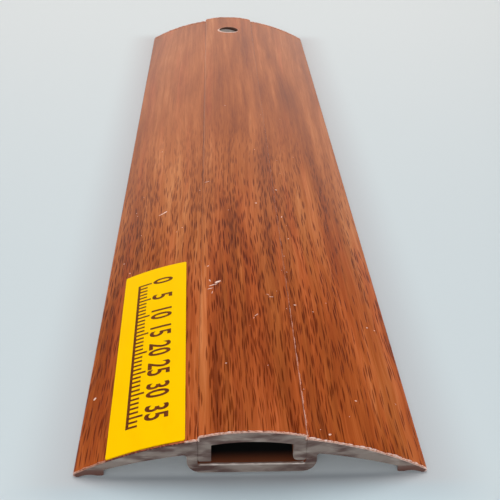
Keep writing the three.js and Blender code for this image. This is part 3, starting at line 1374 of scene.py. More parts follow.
@dataclass
class Seam:
    """The seam beside the cover: foil pressed down into the gap, and crushed into pale crumbs.

    Attributes:
        wing: The foil whose inner edge it follows.
        length: The strip's length.
        gap: The width of the gap to the cover.
        seed: The random seed.
        thin: The crumb line's least radius.
        thick: The crumb line's largest radius.
    """

    wing: WingFoil
    length: float
    gap: float
    seed: int
    thin: float = 0.045 * MM
    thick: float = 0.13 * MM

    def _piece(
        self, name: str, x: np.ndarray, y: np.ndarray, radii: np.ndarray, sink: float
    ) -> bpy.types.Object:
        """Makes a tube along the seam, at the foil's height less the sinking."""
        z = self.wing.height(x) - sink
        centres = np.stack([self.wing.side.value * x, y, z], axis=1)
        points, faces = tube_shape(centres, radii, np.array([0.0, 0.0, 1.0]))
        return piece_from(f"{self.wing.side.name.lower()}_{name}", points, faces, LUMPY_CREASE)

    def lip(self, material: bpy.types.Material) -> bpy.types.Object:
        """Makes the foil that fills the gap, a hair clear of the cover.

        Args:
            material: The foil's material.

        Returns:
            The piece.
        """
        half = self.length / 2 - 0.05 * MM
        y = np.linspace(-half, half, 240)
        radii = self.gap / 2 * (0.86 + 0.06 * ripple(y, self.seed + 9, 17 * MM))
        x = np.full(len(y), self.wing.seam - self.gap / 2)
        return fit(self._piece("seam_lip", x, y, radii, -0.03 * MM), material, Body.BASE)

    def crumbs(
        self, material: bpy.types.Material, near: float, far: float, first: float, last: float
    ) -> bpy.types.Object:
        """Makes the crumbs, a thin tube whose radius changes quickly along the strip.

        Args:
            material: The torn foil's material.
            near: Where along the strip the crumbs start.
            far: Where they stop.
            first: How thick they are at the start, from 0 to 1.
            last: How thick they are at the stop.

        Returns:
            The piece.
        """
        y = np.linspace(near, far, round((far - near) / (0.12 * MM)))
        share = np.linspace(first, last, len(y))
        swell = np.clip(0.45 + 0.7 * ripple(y, self.seed, 4.3 * MM, 6), 0, 1)
        radii = self.thin * share + (self.thick - self.thin) * share * swell
        x = self.wing.seam - 0.03 * MM + radii
        name = f"seam_crumbs_{material.name}"
        return fit(self._piece(name, x, y, radii, 0.0), material, Body.BASE)


@dataclass
class EndBurr:
    """The thin burr that the saw smeared along an inner edge of the extrusions.

    Attributes:
        name: The piece's name.
        path: The burr's points, as X and Z.
        radius: Its radius.
        end: The sawn end that it is on.
        half_length: Half of the strip's length.
        seed: The random seed.
    """

    name: str
    path: np.ndarray
    radius: float
    end: End
    half_length: float
    seed: int

    def _radius(self, along: np.ndarray) -> np.ndarray:
        """Gives the burr's radius, which swells and shrinks along its path."""
        return self.radius * np.clip(0.75 + 0.25 * ripple(along, self.seed, 2.7 * MM), 0.4, 0.96)

    def build(self, material: bpy.types.Material) -> bpy.types.Object:
        """Makes the burr: a tube just inside the sawn end, thicker and thinner along its path.

        Args:
            material: The burr's material.

        Returns:
            The piece.
        """
        points, faces = end_tube(self.path, self.end, self.half_length, self._radius, 12)
        made = piece_from(self.name, points, faces, LUMPY_CREASE)
        return fit(made, material, Body.BASE)


@dataclass(frozen=True)
class Scratch:
    """One chip or scratch in the foil, as a thin raised flake.

    Attributes:
        x: Its place across the strip, in mm.
        y: Its place along the strip, in mm.
        length: Its half length in mm.
        width: Its half width in mm.
        angle: Its direction from +X, in degrees.
    """

    x: float
    y: float
    length: float
    width: float
    angle: float


@dataclass
class Flakes:
    """Chips and scratches of pale foil that lie on one surface.

    Attributes:
        name: The piece's name.
        body: The body that it rides on.
        height: The surface's height at an X.
        marks: The chips that are placed by hand.
        crumbs: How many small ones are scattered besides.
        spread: The X range, the Y range and the power that draws them towards the X range's start.
        seed: The random seed.
        thickness: How thick a flake is.
    """

    name: str
    body: Body
    height: Callable[[np.ndarray], np.ndarray]
    # marks: The chips that are listed one by one.
    marks: tuple[Scratch, ...]
    crumbs: int
    spread: tuple[float, float, float, float, float]
    seed: int
    thickness: float = 0.05 * MM

    def build(self, material: bpy.types.Material) -> bpy.types.Object:
        """Makes all the flakes as one piece.

        Each flake is a sphere's grid, drawn out to its length, width and thickness, turned to its
        direction and laid on the surface, whose height is added to each of its points.

        Args:
            material: The flakes' material.

        Returns:
            The piece.
        """
        random = np.random.default_rng(self.seed)
        left, right, near, far, draw = self.spread
        scattered = np.stack(
            [
                left + (right - left) * random.uniform(0, 1, self.crumbs) ** draw,
                near + (far - near) * random.uniform(0, 1, self.crumbs) ** 1.5,
                random.uniform(0.05, 0.16, self.crumbs),
                random.uniform(0.035, 0.07, self.crumbs),
                random.uniform(0, 180, self.crumbs),
            ],
            axis=1,
        )
        placed = np.array([[m.x, m.y, m.length, m.width, m.angle] for m in self.marks])
        rows = np.concatenate([placed.reshape(-1, 5), scattered])
        x, y, length, width, angle = (rows * [MM, MM, MM, MM, math.pi / 180]).T
        level = 0 * angle
        long = length[:, None] * np.stack([np.cos(angle), np.sin(angle), level], axis=1)
        wide = width[:, None] * np.stack([-np.sin(angle), np.cos(angle), level], axis=1)
        points, faces = grains(long, wide, np.full((len(x), 1), 0.75 * self.thickness) * [0, 0, 1])
        points += np.stack([x, y, level], axis=1)[:, None]
        points[..., 2] += self.height(points[..., 0]) + 0.25 * self.thickness
        made = piece_from(self.name, points.reshape(-1, 3), faces, LUMPY_CREASE)
        return fit(made, material, self.body)


@dataclass
class TapeLabel:
    """A strip of label tape on the left wing, with a plain ruled scale printed on it.

    Attributes:
        wing: The foil that it lies on.
        near_end: The strip's near end.
        width: The tape's width.
        length: The tape's length.
        thickness: The tape's thickness.
        lift: The glue's thickness, under the tape.
        corner: The radius of its corners.
        from_edge: The tape's middle, from the strip's edge.
        from_end: The distance of its near edge from the strip's end.
        turn: How far it was stuck out of square, in degrees.
        print_thickness: The print's thickness.
        stroke: The width of the scale's lines.
        scale_start: The distance of the scale's zero from the tape's far edge.
        scale_length: The scale's length.
        scale_left: The distance of the scale's base line from the tape's left edge.
        tick_ends: How far from the base line's left edge a short and a long line end.
        figure_step: The number of millimetres from one figure to the next.
        figure_facet: The longest edge in a figure's mesh, so that it bends with the wing.
        figure_size: The figures' size.
        figure_swell: How much bolder the figures are than their typeface.
        figure_left: The distance of the figures' foot from the base line's left edge.
        figure_narrow: How narrow the figures are, as a share of the typeface's width.
    """

    wing: WingFoil
    near_end: float
    width: float = 11.1 * MM
    length: float = 46.5 * MM
    thickness: float = 0.15 * MM
    lift: float = 0.02 * MM
    corner: float = 0.3 * MM
    from_edge: float = 9.7 * MM
    from_end: float = 0.15 * MM
    turn: float = 1.2
    print_thickness: float = 0.012 * MM
    stroke: float = 0.42 * MM
    scale_start: float = 4.6 * MM
    scale_length: float = 37 * MM
    scale_left: float = 2.5 * MM
    tick_ends: tuple[float, float] = (1.7 * MM, 2.4 * MM)
    figure_step: int = 5
    figure_facet: float = 0.45 * MM
    figure_size: float = 4.8 * MM
    figure_swell: float = 0.1 * MM
    figure_left: float = 2.8 * MM
    figure_narrow: float = 0.74

    def _on_wing(self, across: np.ndarray, along: np.ndarray, over: float) -> np.ndarray:
        """Carries a flat pattern onto the wing.

        The flat place is turned by the tape's turn and moved to the tape's middle, and its height is
        that of a circle about the wing's centre, larger than the foil's by the given distance.

        Args:
            across: The places across the tape, from its middle.
            along: The places along the tape, from its middle.
            over: The distance over the foil.

        Returns:
            The points in space.
        """
        angle = math.radians(self.turn)
        x = across * math.cos(angle) - along * math.sin(angle)
        y = across * math.sin(angle) + along * math.cos(angle)
        x = x - self.wing.half_width + self.from_edge
        middle = self.near_end + self.from_end + self.length / 2 * math.cos(angle)
        y = y + middle + self.width / 2 * math.sin(angle)
        z = self.wing.centre + np.sqrt((self.wing.radius + over) ** 2 - np.square(x))
        return np.stack([x, y, z], axis=-1)

    @property
    def span(self) -> tuple[float, float]:
        """Gives the X of the tape's two sides at its near edge."""
        corners = np.array([-self.width / 2, self.width / 2])
        low, high = self._on_wing(corners, np.full(2, -self.length / 2), 0.0)[:, 0]
        return (float(low), float(high))

    def _tape(self, material: bpy.types.Material) -> bpy.types.Object:
        """Makes the tape: each row's half width is shortened where the row crosses the corners."""
        fine = np.linspace(0, 1, 7) ** 1.6 * self.corner
        half = self.length / 2
        middle = np.linspace(-half + self.corner, half - self.corner, 40)[1:-1]
        along = np.concatenate([fine - half, middle, half - fine[::-1]])
        into_corner = np.clip(self.corner - (half - np.abs(along)), 0, self.corner)
        shorter = self.corner - np.sqrt(self.corner**2 - into_corner**2)
        share = np.linspace(-1, 1, 41)
        across = share[None] * (self.width / 2 - shorter)[:, None]
        rows = np.broadcast_to(along[:, None], across.shape)
        outer = self._on_wing(across, rows, self.lift + self.thickness)
        inner = self._on_wing(across, rows, self.lift)
        made = skin("tape_label_skin", outer, inner)
        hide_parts("tape_label")
        return fit(made, material, Body.BASE)

    def _bars(self) -> list[tuple[float, float, float, float]]:
        """Lists the scale's printed bars as low and high across, then low and high along."""
        left = -self.width / 2 + self.scale_left
        start = self.length / 2 - self.scale_start
        half = self.stroke / 2
        bars = [(left, left + self.stroke, start - self.scale_length - half, start + half)]
        for number in range(round(self.scale_length / MM) + 1):
            long = number % self.figure_step == 0
            y = start - number * MM
            bars.append((left + self.stroke, left + self.tick_ends[long], y - half, y + half))
        return bars

    def _scale(self, material: bpy.types.Material, cells: int = 6) -> bpy.types.Object:
        """Makes the scale's lines, each a low bar bent over the wing.

        A bar is a grid of two rows on the tape and the same two rows the print's thickness over it.

        Args:
            material: The print's material.
            cells: The number of steps across each bar.

        Returns:
            The piece.
        """
        low_x, high_x, low_y, high_y = np.array(self._bars()).T[..., None, None]
        share = np.linspace(0, 1, cells + 1)[None, None]
        across = low_x + (high_x - low_x) * share + np.zeros((1, 2, 1))
        along = np.concatenate([low_y, high_y], axis=1) + 0 * share
        over = self.lift + self.thickness
        top = self._on_wing(across, along, over + self.print_thickness)
        foot = self._on_wing(across, along, over - self.print_thickness)
        points = np.stack([top, foot], axis=1)
        at = np.arange(4 * (cells + 1)).reshape(2, 2, cells + 1)
        loops = ((at[0, 0], at[0, 1]), (at[1, 1], at[1, 0]), (at[1, 0], at[0, 0]), (at[0, 1], at[1, 1]))
        quads = [np.stack([a[:-1], a[1:], b[1:], b[:-1]], axis=1) for a, b in loops]
        quads += [np.array([[at[0, 0, c], at[0, 1, c], at[1, 1, c], at[1, 0, c]]]) for c in (0, -1)]
        one = np.concatenate(quads)
        faces = (one[None] + np.arange(len(points))[:, None, None] * at.size).reshape(-1, 4)
        made = piece_from("label_scale_lines", points.reshape(-1, 3), faces.tolist())
        return fit(made, material, Body.BASE)

    def _figure(self, number: int, material: bpy.types.Material) -> bpy.types.Object:
        """Makes one printed figure, which stands beside its line and reads along the tape.

        The flat figure is cut into short edges and doubled, and its two layers are laid on the wing
        one print's thickness over and under the tape's face. Its points and faces are sorted, because
        the cuts leave them in another order each run.

        Args:
            number: The number to print.
            material: The print's material.

        Returns:
            The piece.
        """
        curve = bpy.data.curves.new(f"figure_curve_{number}", "FONT")
        curve.body = str(number)
        curve.size = self.figure_size
        curve.align_x = "CENTER"
        curve.resolution_u = 4
        curve.offset = self.figure_swell
        flat = bpy.data.objects.new(f"figure_text_{number}", curve)
        bpy.context.scene.collection.objects.link(flat)
        bpy.context.view_layer.update()
        mesh = bpy.data.meshes.new_from_object(flat.evaluated_get(bpy.context.evaluated_depsgraph_get()))
        bpy.data.objects.remove(flat)
        working = bmesh.new()
        working.from_mesh(mesh)
        bmesh.ops.remove_doubles(working, verts=working.verts, dist=0.001 * MM)
        for _ in range(3):
            long = [edge for edge in working.edges if edge.calc_length() > self.figure_facet]
            bmesh.ops.subdivide_edges(working, edges=long, cuts=1)
            bmesh.ops.triangulate(working, faces=working.faces)
        grown = bmesh.ops.extrude_face_region(working, geom=working.faces[:])
        top = [item for item in grown["geom"] if isinstance(item, bmesh.types.BMVert)]
        bmesh.ops.translate(working, verts=top, vec=(0, 0, 1))
        working.to_mesh(mesh)
        working.free()
        local = np.zeros(len(mesh.vertices) * 3)
        mesh.vertices.foreach_get("co", local)
        local = local.reshape(-1, 3)
        order = np.lexsort(local.T)
        rank = np.argsort(order)
        faces = sorted(rank[list(polygon.vertices)].tolist() for polygon in mesh.polygons)
        local = local[order]
        bpy.data.meshes.remove(mesh)
        left = -self.width / 2 + self.scale_left + self.figure_left
        start = self.length / 2 - self.scale_start - number * MM
        across, along = left + local[:, 1], start - self.figure_narrow * local[:, 0]
        over = self.lift + self.thickness
        low = self._on_wing(across, along, over - self.print_thickness)
        high = self._on_wing(across, along, over + self.print_thickness)
        placed = np.where(local[:, 2:] > 0.5, high, low)
        made = piece_from(f"label_figure_{number}", placed, faces)
        return fit(made, material, Body.BASE)

    def build(self, tape: bpy.types.Material, ink: bpy.types.Material) -> list[bpy.types.Object]:
        """Makes the tape and its print.

        Args:
            tape: The tape's material.
            ink: The print's material.

        Returns:
            The pieces.
        """
        numbers = range(0, round(self.scale_length / MM), self.figure_step)
        figures = [self._figure(number, ink) for number in numbers]
        return [self._tape(tape), self._scale(ink), *figures]


@dataclass(frozen=True)
class Looks:
    """The materials of the foil and of what the saw tore from it.

    Attributes:
        walnut: The printed foil.
        torn: The torn fibres along the sawn ends.
        seam: The pinker fibres along the right seam and under the strands.
        dull: Torn fibres with much of the print left.
        chip: The palest, for chips and scratches.
    """

    walnut: bpy.types.Material
    torn: bpy.types.Material
    seam: bpy.types.Material
    dull: bpy.types.Material
    chip: bpy.types.Material

    @classmethod
    def build(cls, walnut: WalnutFoil) -> Looks:
        """Makes the materials.

        Args:
            walnut: The printed foil's finish.

        Returns:
            The materials.
        """
        return cls(
            walnut=walnut.build(),
            torn=TornFoil().build(),
            seam=TornFoil("seam_foil", srgb(228, 174, 152), srgb(186, 116, 90)).build(),
            dull=TornFoil("dull_foil", srgb(196, 134, 108), srgb(146, 78, 52)).build(),
            chip=TornFoil("chip_foil", srgb(248, 216, 200), srgb(214, 158, 134)).build(),
        )


@dataclass(frozen=True)
class Run:
    """One stretch of torn edge along a foil's sawn end.

    Attributes:
        name: The start of its pieces' names.
        body: The body that it rides on.
        foil: The foil whose edge it follows.
        low: The X where it starts.
        high: The X where it stops.
        strength: How thick the strands are, at equal steps from start to stop.
        line: The thin line's material.
        strands: The strands' material.
    """

    name: str
    body: Body
    foil: WingFoil | CoverFoil
    low: float
    high: float
    strength: tuple[float, ...]
    line: bpy.types.Material
    strands: bpy.types.Material


@dataclass
class Strip:
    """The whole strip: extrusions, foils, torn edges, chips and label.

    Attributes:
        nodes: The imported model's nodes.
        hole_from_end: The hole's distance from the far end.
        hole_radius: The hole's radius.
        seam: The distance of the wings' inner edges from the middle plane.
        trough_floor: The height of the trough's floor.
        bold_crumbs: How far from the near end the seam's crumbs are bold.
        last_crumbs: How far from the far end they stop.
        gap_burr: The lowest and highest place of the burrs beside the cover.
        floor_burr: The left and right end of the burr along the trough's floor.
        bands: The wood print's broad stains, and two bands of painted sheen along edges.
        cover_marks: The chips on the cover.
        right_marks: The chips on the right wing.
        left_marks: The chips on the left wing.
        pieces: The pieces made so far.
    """

    nodes: dict[str, bpy.types.Object]
    hole_from_end: float = 14 * MM
    hole_radius: float = 3 * MM
    seam: float = 7.6 * MM
    trough_floor: float = 2 * MM
    bold_crumbs: float = 34 * MM
    last_crumbs: float = 70 * MM
    gap_burr: tuple[float, float] = (2.9 * MM, 6.45 * MM)
    floor_burr: tuple[float, float] = (-7.2 * MM, 6.7 * MM)
    bands: tuple[Band, ...] = (
        Band(-23.0, -82.0, 1.6, 22.0, 0.16),
        Band(-21.5, -42.0, 2.2, 16.0, 0.16),
        Band(-12.2, -44.0, 1.6, 9.0, -0.14),
        Band(-9.0, -38.0, 0.5, 14.0, 0.10),
        Band(-23.2, 14.0, 1.4, 14.0, 0.10),
        Band(-11.0, 20.0, 1.6, 14.0, -0.10),
        Band(-16.5, 74.0, 2.2, 22.0, -0.08),
        Band(-24.0, 92.0, 2.0, 14.0, 0.12),
        # Painted sheen along the cover's left edge towards the near end.
        Band(-6.9, -75.0, 0.6, 40.0, -0.24),
        Band(-4.6, -78.0, 0.8, 28.0, 0.20),
        Band(-1.2, -80.0, 1.6, 22.0, 0.14),
        Band(3.9, -88.0, 1.4, 14.0, 0.16, -0.13),
        Band(4.8, -52.0, 1.4, 16.0, 0.10),
        Band(1.0, -38.0, 0.9, 16.0, -0.08, -0.2),
        Band(-1.8, -40.0, 1.3, 16.0, 0.16, -0.2),
        Band(-5.7, -8.0, 0.7, 12.0, -0.16),
        Band(4.9, 22.0, 0.9, 26.0, -0.14, 0.03),
        Band(9.3, -92.0, 1.0, 14.0, 0.10),
        Band(12.0, -36.0, 1.2, 16.0, -0.08, -0.02),
        Band(15.4, -44.0, 1.3, 14.0, -0.12),
        Band(19.5, -86.0, 1.8, 14.0, -0.14),
        Band(16.6, -72.0, 1.6, 11.0, -0.16),
        Band(-17.0, -18.0, 5.0, 26.0, -0.18),
        Band(13.2, 22.0, 2.2, 24.0, 0.15),
        Band(17.2, -2.0, 1.6, 62.0, 0.18, -0.038),
        Band(12.5, -88.0, 6.0, 20.0, 0.10),
        Band(19.0, -84.0, 1.6, 9.0, -0.12),
        Band(13.5, -24.0, 3.2, 22.0, -0.09),
        # Painted sheen along the right wing's outer edge.
        Band(23.4, -50.0, 1.7, 60.0, -0.20),
        Band(-5.9, 74.0, 1.1, 34.0, -0.12),
    )
    cover_marks: tuple[Scratch, ...] = (
        Scratch(-5.3, -62.9, 0.8, 0.12, 14.0),
        Scratch(-4.5, -62.1, 0.6, 0.26, 24.0),
        Scratch(-5.9, -61.4, 0.4, 0.1, 110.0),
        Scratch(-5.8, -63.9, 0.55, 0.1, 8.0),
        Scratch(-5.5, -65.2, 0.4, 0.06, 80.0),
        Scratch(-6.24, -56.5, 0.22, 0.08, 20.0),
        Scratch(-6.56, -22.6, 0.6, 0.07, 8.0),
        Scratch(3.46, -33.2, 0.25, 0.12, 15.0),
        Scratch(1.76, -72.5, 0.5, 0.06, 48.0),
        Scratch(1.3, -73.3, 0.3, 0.05, 70.0),
        Scratch(4.5, -66.9, 0.45, 0.06, 12.0),
        Scratch(4.0, -66.3, 0.3, 0.05, 150.0),
        Scratch(0.58, -75.4, 0.14, 0.08, 0.0),
        Scratch(-3.42, -84.8, 0.14, 0.08, 0.0),
    )
    right_marks: tuple[Scratch, ...] = (
        Scratch(10.9, -98.5, 0.24, 0.16, 40.0),
        Scratch(21.06, -69.0, 0.2, 0.12, 20.0),
        Scratch(22.4, -69.0, 0.16, 0.08, 60.0),
        Scratch(15.9, -90.0, 0.18, 0.1, 0.0),
        Scratch(8.15, -24.7, 0.22, 0.14, 0.0),
        Scratch(8.5, -36.5, 0.3, 0.1, 80.0),
        Scratch(8.6, -67.5, 0.24, 0.14, 10.0),
        Scratch(11.6, -68.7, 0.14, 0.08, 0.0),
        Scratch(9.2, -45.0, 0.2, 0.08, 60.0),
    )
    left_marks: tuple[Scratch, ...] = (
        Scratch(-23.6, -85.2, 0.3, 0.2, 60.0),
        Scratch(-15.7, -32.0, 0.9, 0.13, 24.0),
        Scratch(-15.1, -31.6, 0.45, 0.22, 30.0),
        Scratch(-20.9, -51.5, 0.16, 0.09, 20.0),
        Scratch(-22.4, -47.0, 0.14, 0.07, 0.0),
    )
    pieces: list[bpy.types.Object] = field(default_factory=list)

    def build(self) -> None:
        """Makes every piece of the strip and reports it."""
        _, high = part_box("base_profile")
        _, foil_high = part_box("right_wing_foil")
        _, cover_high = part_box("cover_foil")
        hole_y = high.y - self.hole_from_end
        ends = FoilEnds(2 * high.y)
        wings = {side: WingFoil(side, foil_high.x, self.seam, ends) for side in Side}
        cover = CoverFoil(cover_high.x, cover_high.z, ends, hole_y, self.hole_radius)
        label = TapeLabel(wings[Side.LEFT], -high.y)
        drill = (hole_y / MM, self.hole_radius / MM)
        label_x = tuple(edge / MM for edge in label.span)
        looks = Looks.build(WalnutFoil(high.y / MM, *drill, label_x, self.bands))
        trough = (self.seam / MM, self.trough_floor / MM)
        aluminium = SawnAluminium(high.y / MM, *trough, *drill).build()
        for name in ("base_profile", "cover_profile"):
            dress(self.nodes[name], aluminium)
        gap = self.seam - cover_high.x
        self.pieces += [foil.build(looks.walnut) for foil in (*wings.values(), cover)]
        self.pieces += self._torn_edges(wings, cover, label.span, looks, high.y)
        self.pieces += self._seams(wings, gap, looks, high.y)
        self.pieces += self._burrs(gap, aluminium, high.y)
        self.pieces += self._flakes(wings, cover, looks.chip)
        self.pieces += label.build(YellowTape().build(), BrownPrint().build())
        for made in self.pieces:
            LOG.info("%s: %d faces", made.name, len(made.data.polygons))

    def _seams(
        self, wings: dict[Side, WingFoil], gap: float, looks: Looks, half_length: float
    ) -> list[bpy.types.Object]:
        """Makes the foil in both seams and the crumbs along the right one.

        Args:
            wings: The wings' foils.
            gap: The width of the gap beside the cover.
            looks: The foil's materials.
            half_length: Half of the strip's length.

        Returns:
            The pieces.
        """
        seams = {side: Seam(wing, 2 * half_length, gap, 90) for side, wing in wings.items()}
        half = half_length - 0.3 * MM
        turn = -half + self.bold_crumbs
        right = seams[Side.RIGHT]
        return [
            *(seam.lip(looks.walnut) for seam in seams.values()),
            right.crumbs(looks.seam, -half, turn, 1.0, 0.5),
            right.crumbs(looks.dull, turn, half - self.last_crumbs, 0.45, 0.1),
        ]

    def _burrs(
        self, gap: float, material: bpy.types.Material, half_length: float
    ) -> list[bpy.types.Object]:
        """Makes the burrs in the two gaps beside the cover and along the trough's floor.

        Args:
            gap: The gap's width.
            material: The burrs' material.
            half_length: Half of the strip's length.

        Returns:
            The pieces.
        """
        burrs = []
        for end in End:
            for side in Side:
                x = side.value * (self.seam - gap / 2)
                path = np.array([[x, z] for z in self.gap_burr])
                name = f"{side.name.lower()}_gap_{end.name.lower()}_burr"
                burrs.append(EndBurr(name, path, gap / 2, end, half_length, 50))
            path = np.array([[x, self.trough_floor] for x in self.floor_burr])
            name = f"trough_floor_{end.name.lower()}_burr"
            burrs.append(EndBurr(name, path, 0.12 * MM, end, half_length, 52))
        return [burr.build(material) for burr in burrs]

    def _torn_edges(
        self,
        wings: dict[Side, WingFoil],
        cover: CoverFoil,
        label: tuple[float, float],
        looks: Looks,
        half_length: float,
    ) -> list[bpy.types.Object]:
        """Makes the torn lines along the foils' sawn ends.

        Args:
            wings: The wings' foils.
            cover: The cover's foil.
            label: The X of the label's two sides, between which there is no line at the near end.
            looks: The foil's materials.
            half_length: Half of the strip's length.

        Returns:
            The pieces.
        """
        right, left = wings[Side.RIGHT], wings[Side.LEFT]
        low, high = label
        root, nose = self.seam, right.half_width - 0.5 * MM
        edge = cover.half_width - 0.25 * MM
        rope = (1.8, 0.8, 0.9, 1.15, 1.15, 1.15, 1.1)
        faint = (0.4, 0.9, 1.0, 0.6, 0.8, 0.6, 0.5)
        torn, seam, dull = looks.torn, looks.seam, looks.dull
        both = (
            Run("right_wing", Body.BASE, right, root, nose, rope, seam, torn),
            Run("cover", Body.COVER, cover, -edge, edge, faint, seam, torn),
        )
        single = {
            End.NEAR: (
                Run("left_wing_nose", Body.BASE, left, -nose, low, (0.5, 0.6), dull, dull),
                Run("left_wing_root", Body.BASE, left, high, -root, (0.9, 0.9), seam, torn),
            ),
            End.FAR: (Run("left_wing", Body.BASE, left, -nose, -root, rope[::-1], dull, torn),),
        }
        made = []
        for end in End:
            for number, run in enumerate(both + single[end]):
                x = np.linspace(run.low, run.high, 60)
                path = np.stack([x, run.foil.height(x)], axis=1)
                top = path[:, 1].max() if run.body is Body.COVER else cover.crown
                share, known = (np.linspace(0, 1, count) for count in (len(x), len(run.strength)))
                strength = np.interp(share, known, run.strength)
                name = f"{run.name}_{end.name.lower()}_torn_edge"
                seed = 60 + 10 * number + 3 * end.value
                torn_edge = TornEdge(name, run.body, path, end, half_length, top, strength, seed)
                made += torn_edge.build(run.line, run.strands)
        return made

    def _flakes(
        self, wings: dict[Side, WingFoil], cover: CoverFoil, material: bpy.types.Material
    ) -> list[bpy.types.Object]:
        """Makes the chips and scratches on the cover and on both wings.

        Args:
            wings: The wings' foils.
            cover: The cover's foil.
            material: The chips' material.

        Returns:
            The pieces.
        """
        right, left = wings[Side.RIGHT].height, wings[Side.LEFT].height
        on_cover, on_right, on_left = self.cover_marks, self.right_marks, self.left_marks
        plans = (
            ("cover", Body.COVER, cover.flake_height, on_cover, 9, (7.0, -6.5, -99, 20, 1.8), 5),
            ("right_wing", Body.BASE, right, on_right, 13, (7.9, 23, -99, 20, 2.2), 6),
            ("left_wing", Body.BASE, left, on_left, 8, (-8, -23, -50, 20, 1.0), 7),
        )
        return [Flakes(f"{name}_flakes", *rest).build(material) for name, *rest in plans]


@dataclass(frozen=True)
class Softbox:
    """One large soft light that looks at the strip and leaves no highlight of its own.

    Attributes:
        name: The light's name.
        place: Where it hangs.
        size: Its side.
        power: Its power in watts.
        colour: Its colour.
    """

    name: str
    place: tuple[float, float, float]
    size: float
    power: float
    colour: tuple[float, float, float] = (1.0, 1.0, 1.0)

    def build(self) -> None:
        """Hangs the light and turns it to the strip."""
        data = bpy.data.lights.new(self.name, "AREA")
        data.shape = "SQUARE"
        data.size = self.size
        data.energy = self.power
        data.color = self.colour
        light = bpy.data.objects.new(self.name, data)
        light.location = self.place
        light.visible_glossy = False
        aim = Vector((0, -0.02, 0)) - light.location
        light.rotation_euler = aim.to_track_quat("-Z", "Y").to_euler()
        bpy.context.scene.collection.objects.link(light)


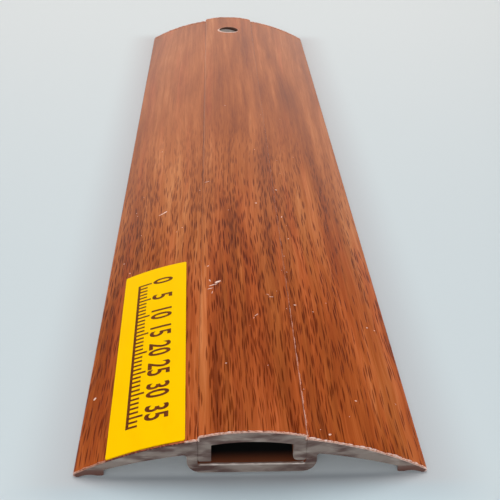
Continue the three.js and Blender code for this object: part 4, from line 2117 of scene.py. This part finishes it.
@dataclass
class Studio:
    """A pale floor, soft light from above and behind, and the camera.

    Attributes:
        eye: The camera's place.
        pitch: How far it looks down, in degrees.
        yaw: How far it looks to the right of +Y, in degrees.
        roll: How far it leans, in degrees.
        lens: Its focal length in mm, on a sensor 36 mm wide.
        floor_size: The floor's side.
        floor_colour: The floor's colour near the camera, darker and bluer than far off as painted shade.
        far_colour: Its colour far off.
        strip: Half of the strip's width and length, in mm.
        halo: How far in mm the floor is shaded beside the strip.
        side_shade: The shade beside the strip.
        front_shade: The shade in front of it.
        under_colour: The painted light on the floor under the strip.
        lights: The four soft lights.
        sky: The surround's colours, from level up to straight overhead.
        side_sky: The colour that the surround is drawn to on both sides.
        front_sky: The colour that it is drawn to in front.
    """

    eye: tuple[float, float, float] = (-5.35 * MM, -186.23 * MM, 89.11 * MM)
    pitch: float = 31.11
    yaw: float = 2.92
    roll: float = 1.31
    lens: float = 61.2
    floor_size: float = 4.0
    floor_colour: Colour = (0.60, 0.665, 0.695, 1.0)
    far_colour: Colour = (0.655, 0.675, 0.68, 1.0)
    strip: tuple[float, float] = (25.0, 100.0)
    halo: float = 10.5
    side_shade: Colour = (0.84, 0.79, 0.79, 1.0)
    front_shade: Colour = (0.93, 1.0, 1.03, 1.0)
    under_colour: Colour = (0.98, 0.99, 1.0, 1.0)
    lights: tuple[Softbox, ...] = (
        Softbox("key", (0.02, 0.32, 0.8), 0.7, 6.5, (1.0, 0.985, 0.96)),
        Softbox("fill", (-0.1, -0.75, 0.28), 0.5, 1.9, (0.92, 0.97, 1.0)),
        Softbox("left_softbox", (-0.8, 0.1, 0.3), 0.6, 1.7),
        Softbox("right_softbox", (0.8, 0.1, 0.3), 0.6, 1.445),
    )
    sky: tuple[tuple[float, Colour], ...] = (
        (0.0, (0.74, 0.73, 0.71, 1.0)),
        (0.30, (0.76, 0.75, 0.73, 1.0)),
        (0.42, (0.66, 0.65, 0.64, 1.0)),
        (0.52, (0.12, 0.12, 0.12, 1.0)),
        (0.62, (0.02, 0.02, 0.02, 1.0)),
        (0.88, (0.10, 0.11, 0.12, 1.0)),
        (1.0, (0.6, 0.6, 0.6, 1.0)),
    )
    side_sky: Colour = (0.05, 0.05, 0.05, 1.0)
    front_sky: Colour = (0.34, 0.39, 0.42, 1.0)

    def build(self) -> None:
        """Makes the floor, the lights and the camera."""
        self._floor()
        self._surround()
        for light in self.lights:
            light.build()
        self._camera()
        bpy.context.scene.view_settings.view_transform = "Standard"

    def _floor(self) -> None:
        """Makes a flat floor that reaches well past the picture.

        Its colour goes from near to far, darker and bluer near the camera as painted shade, with a
        painted soft shade beside the strip and in front of its near end, and painted light under the
        strip.
        """
        edge = self.floor_size / 2
        share = np.linspace(-edge, edge, 3)
        x, y = np.meshgrid(share, share)
        mesh = bpy.data.meshes.new("floor")
        at = np.arange(9).reshape(3, 3)
        quads = np.stack([at[:-1, :-1], at[:-1, 1:], at[1:, 1:], at[1:, :-1]], axis=-1).reshape(-1, 4)
        points = np.stack([x.ravel(), y.ravel(), np.zeros(9)], axis=1)
        mesh.from_pydata(points.tolist(), [], quads.tolist())
        floor = bpy.data.objects.new("floor", mesh)
        bpy.context.scene.collection.objects.link(floor)
        graph = Graph.surface("floor_board")
        x, y, _ = graph.place()
        # Painted shade: the floor is darker and bluer towards the camera.
        colour = graph.mix(y.rise(-120.0, 160.0), self.floor_colour, self.far_colour)
        past_side, past_end = abs(x) - self.strip[0], abs(y) - self.strip[1]
        beside = past_side.rise(self.halo, -1.0) * past_end.rise(8.0, 0.0)
        colour = graph.mix(beside, colour, self.side_shade, "MULTIPLY")
        ahead = -1.0 * y - self.strip[1]
        front = ahead.rise(0.8, 3.0) * ahead.rise(18.0, 4.0) * past_side.rise(12.0, -5.0)
        colour = graph.mix(front, colour, self.front_shade, "MULTIPLY")
        # Painted light: the floor is paler under the strip, against the shadow that the strip casts.
        under = past_side.rise(0.0, -1.5) * past_end.rise(0.8, -0.8)
        colour = graph.mix(under, colour, self.under_colour)
        graph.finish({"Base Color": colour, "Roughness": 0.38, "Specular IOR Level": 0.35})
        dress(floor, graph.material)

    def _surround(self) -> None:
        """Makes the soft surround: bright low down behind the strip, dim overhead, darker in front."""
        world = bpy.data.worlds.new("studio")
        bpy.context.scene.world = world
        world.use_nodes = True
        graph = Graph(world.node_tree, "Background")
        coordinates = graph.node("ShaderNodeTexCoord")
        direction = Value(graph, coordinates.outputs["Generated"])
        apart = graph.node("ShaderNodeSeparateXYZ", None, {0: direction})
        across, along, up = (Value(graph, socket) for socket in apart.outputs)
        aside = abs(across).rise(0.18, 0.5)
        lift = up * (1.0 + 0.65 * aside) + 0.3 * abs(across).rise(0.42, 0.62)
        lift = lift.least(0.7).most(up)
        sky = graph.mix(aside * 0.25, graph.ramp(lift, self.sky), self.side_sky)
        front = along.rise(0.1, -0.4) * 0.6
        graph.finish({"Color": graph.mix(front, sky, self.front_sky), "Strength": 1.0})

    def _camera(self) -> None:
        """Places the camera by its place and three angles."""
        pitch, yaw, roll = (math.radians(angle) for angle in (self.pitch, self.yaw, self.roll))
        ahead = Vector(
            (math.sin(yaw) * math.cos(pitch), math.cos(yaw) * math.cos(pitch), -math.sin(pitch))
        )
        level = Vector((math.cos(yaw), -math.sin(yaw), 0.0))
        over = level.cross(ahead)
        right = level * math.cos(roll) + over * math.sin(roll)
        up = over * math.cos(roll) - level * math.sin(roll)
        turned = Matrix((right, up, -ahead)).transposed().to_4x4()
        data = bpy.data.cameras.new("camera")
        data.lens = self.lens
        data.sensor_width = 36.0
        data.clip_start = 0.01
        camera = bpy.data.objects.new("camera", data)
        camera.matrix_world = Matrix.Translation(self.eye) @ turned
        bpy.context.scene.collection.objects.link(camera)
        bpy.context.scene.camera = camera


def main() -> None:
    """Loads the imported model, dresses the strip and sets up the studio."""
    logging.basicConfig(level=logging.INFO, format="%(name)s: %(message)s")
    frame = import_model()
    Studio().build()
    Strip(frame["nodes"]).build()


if __name__ == "__main__":
    main()
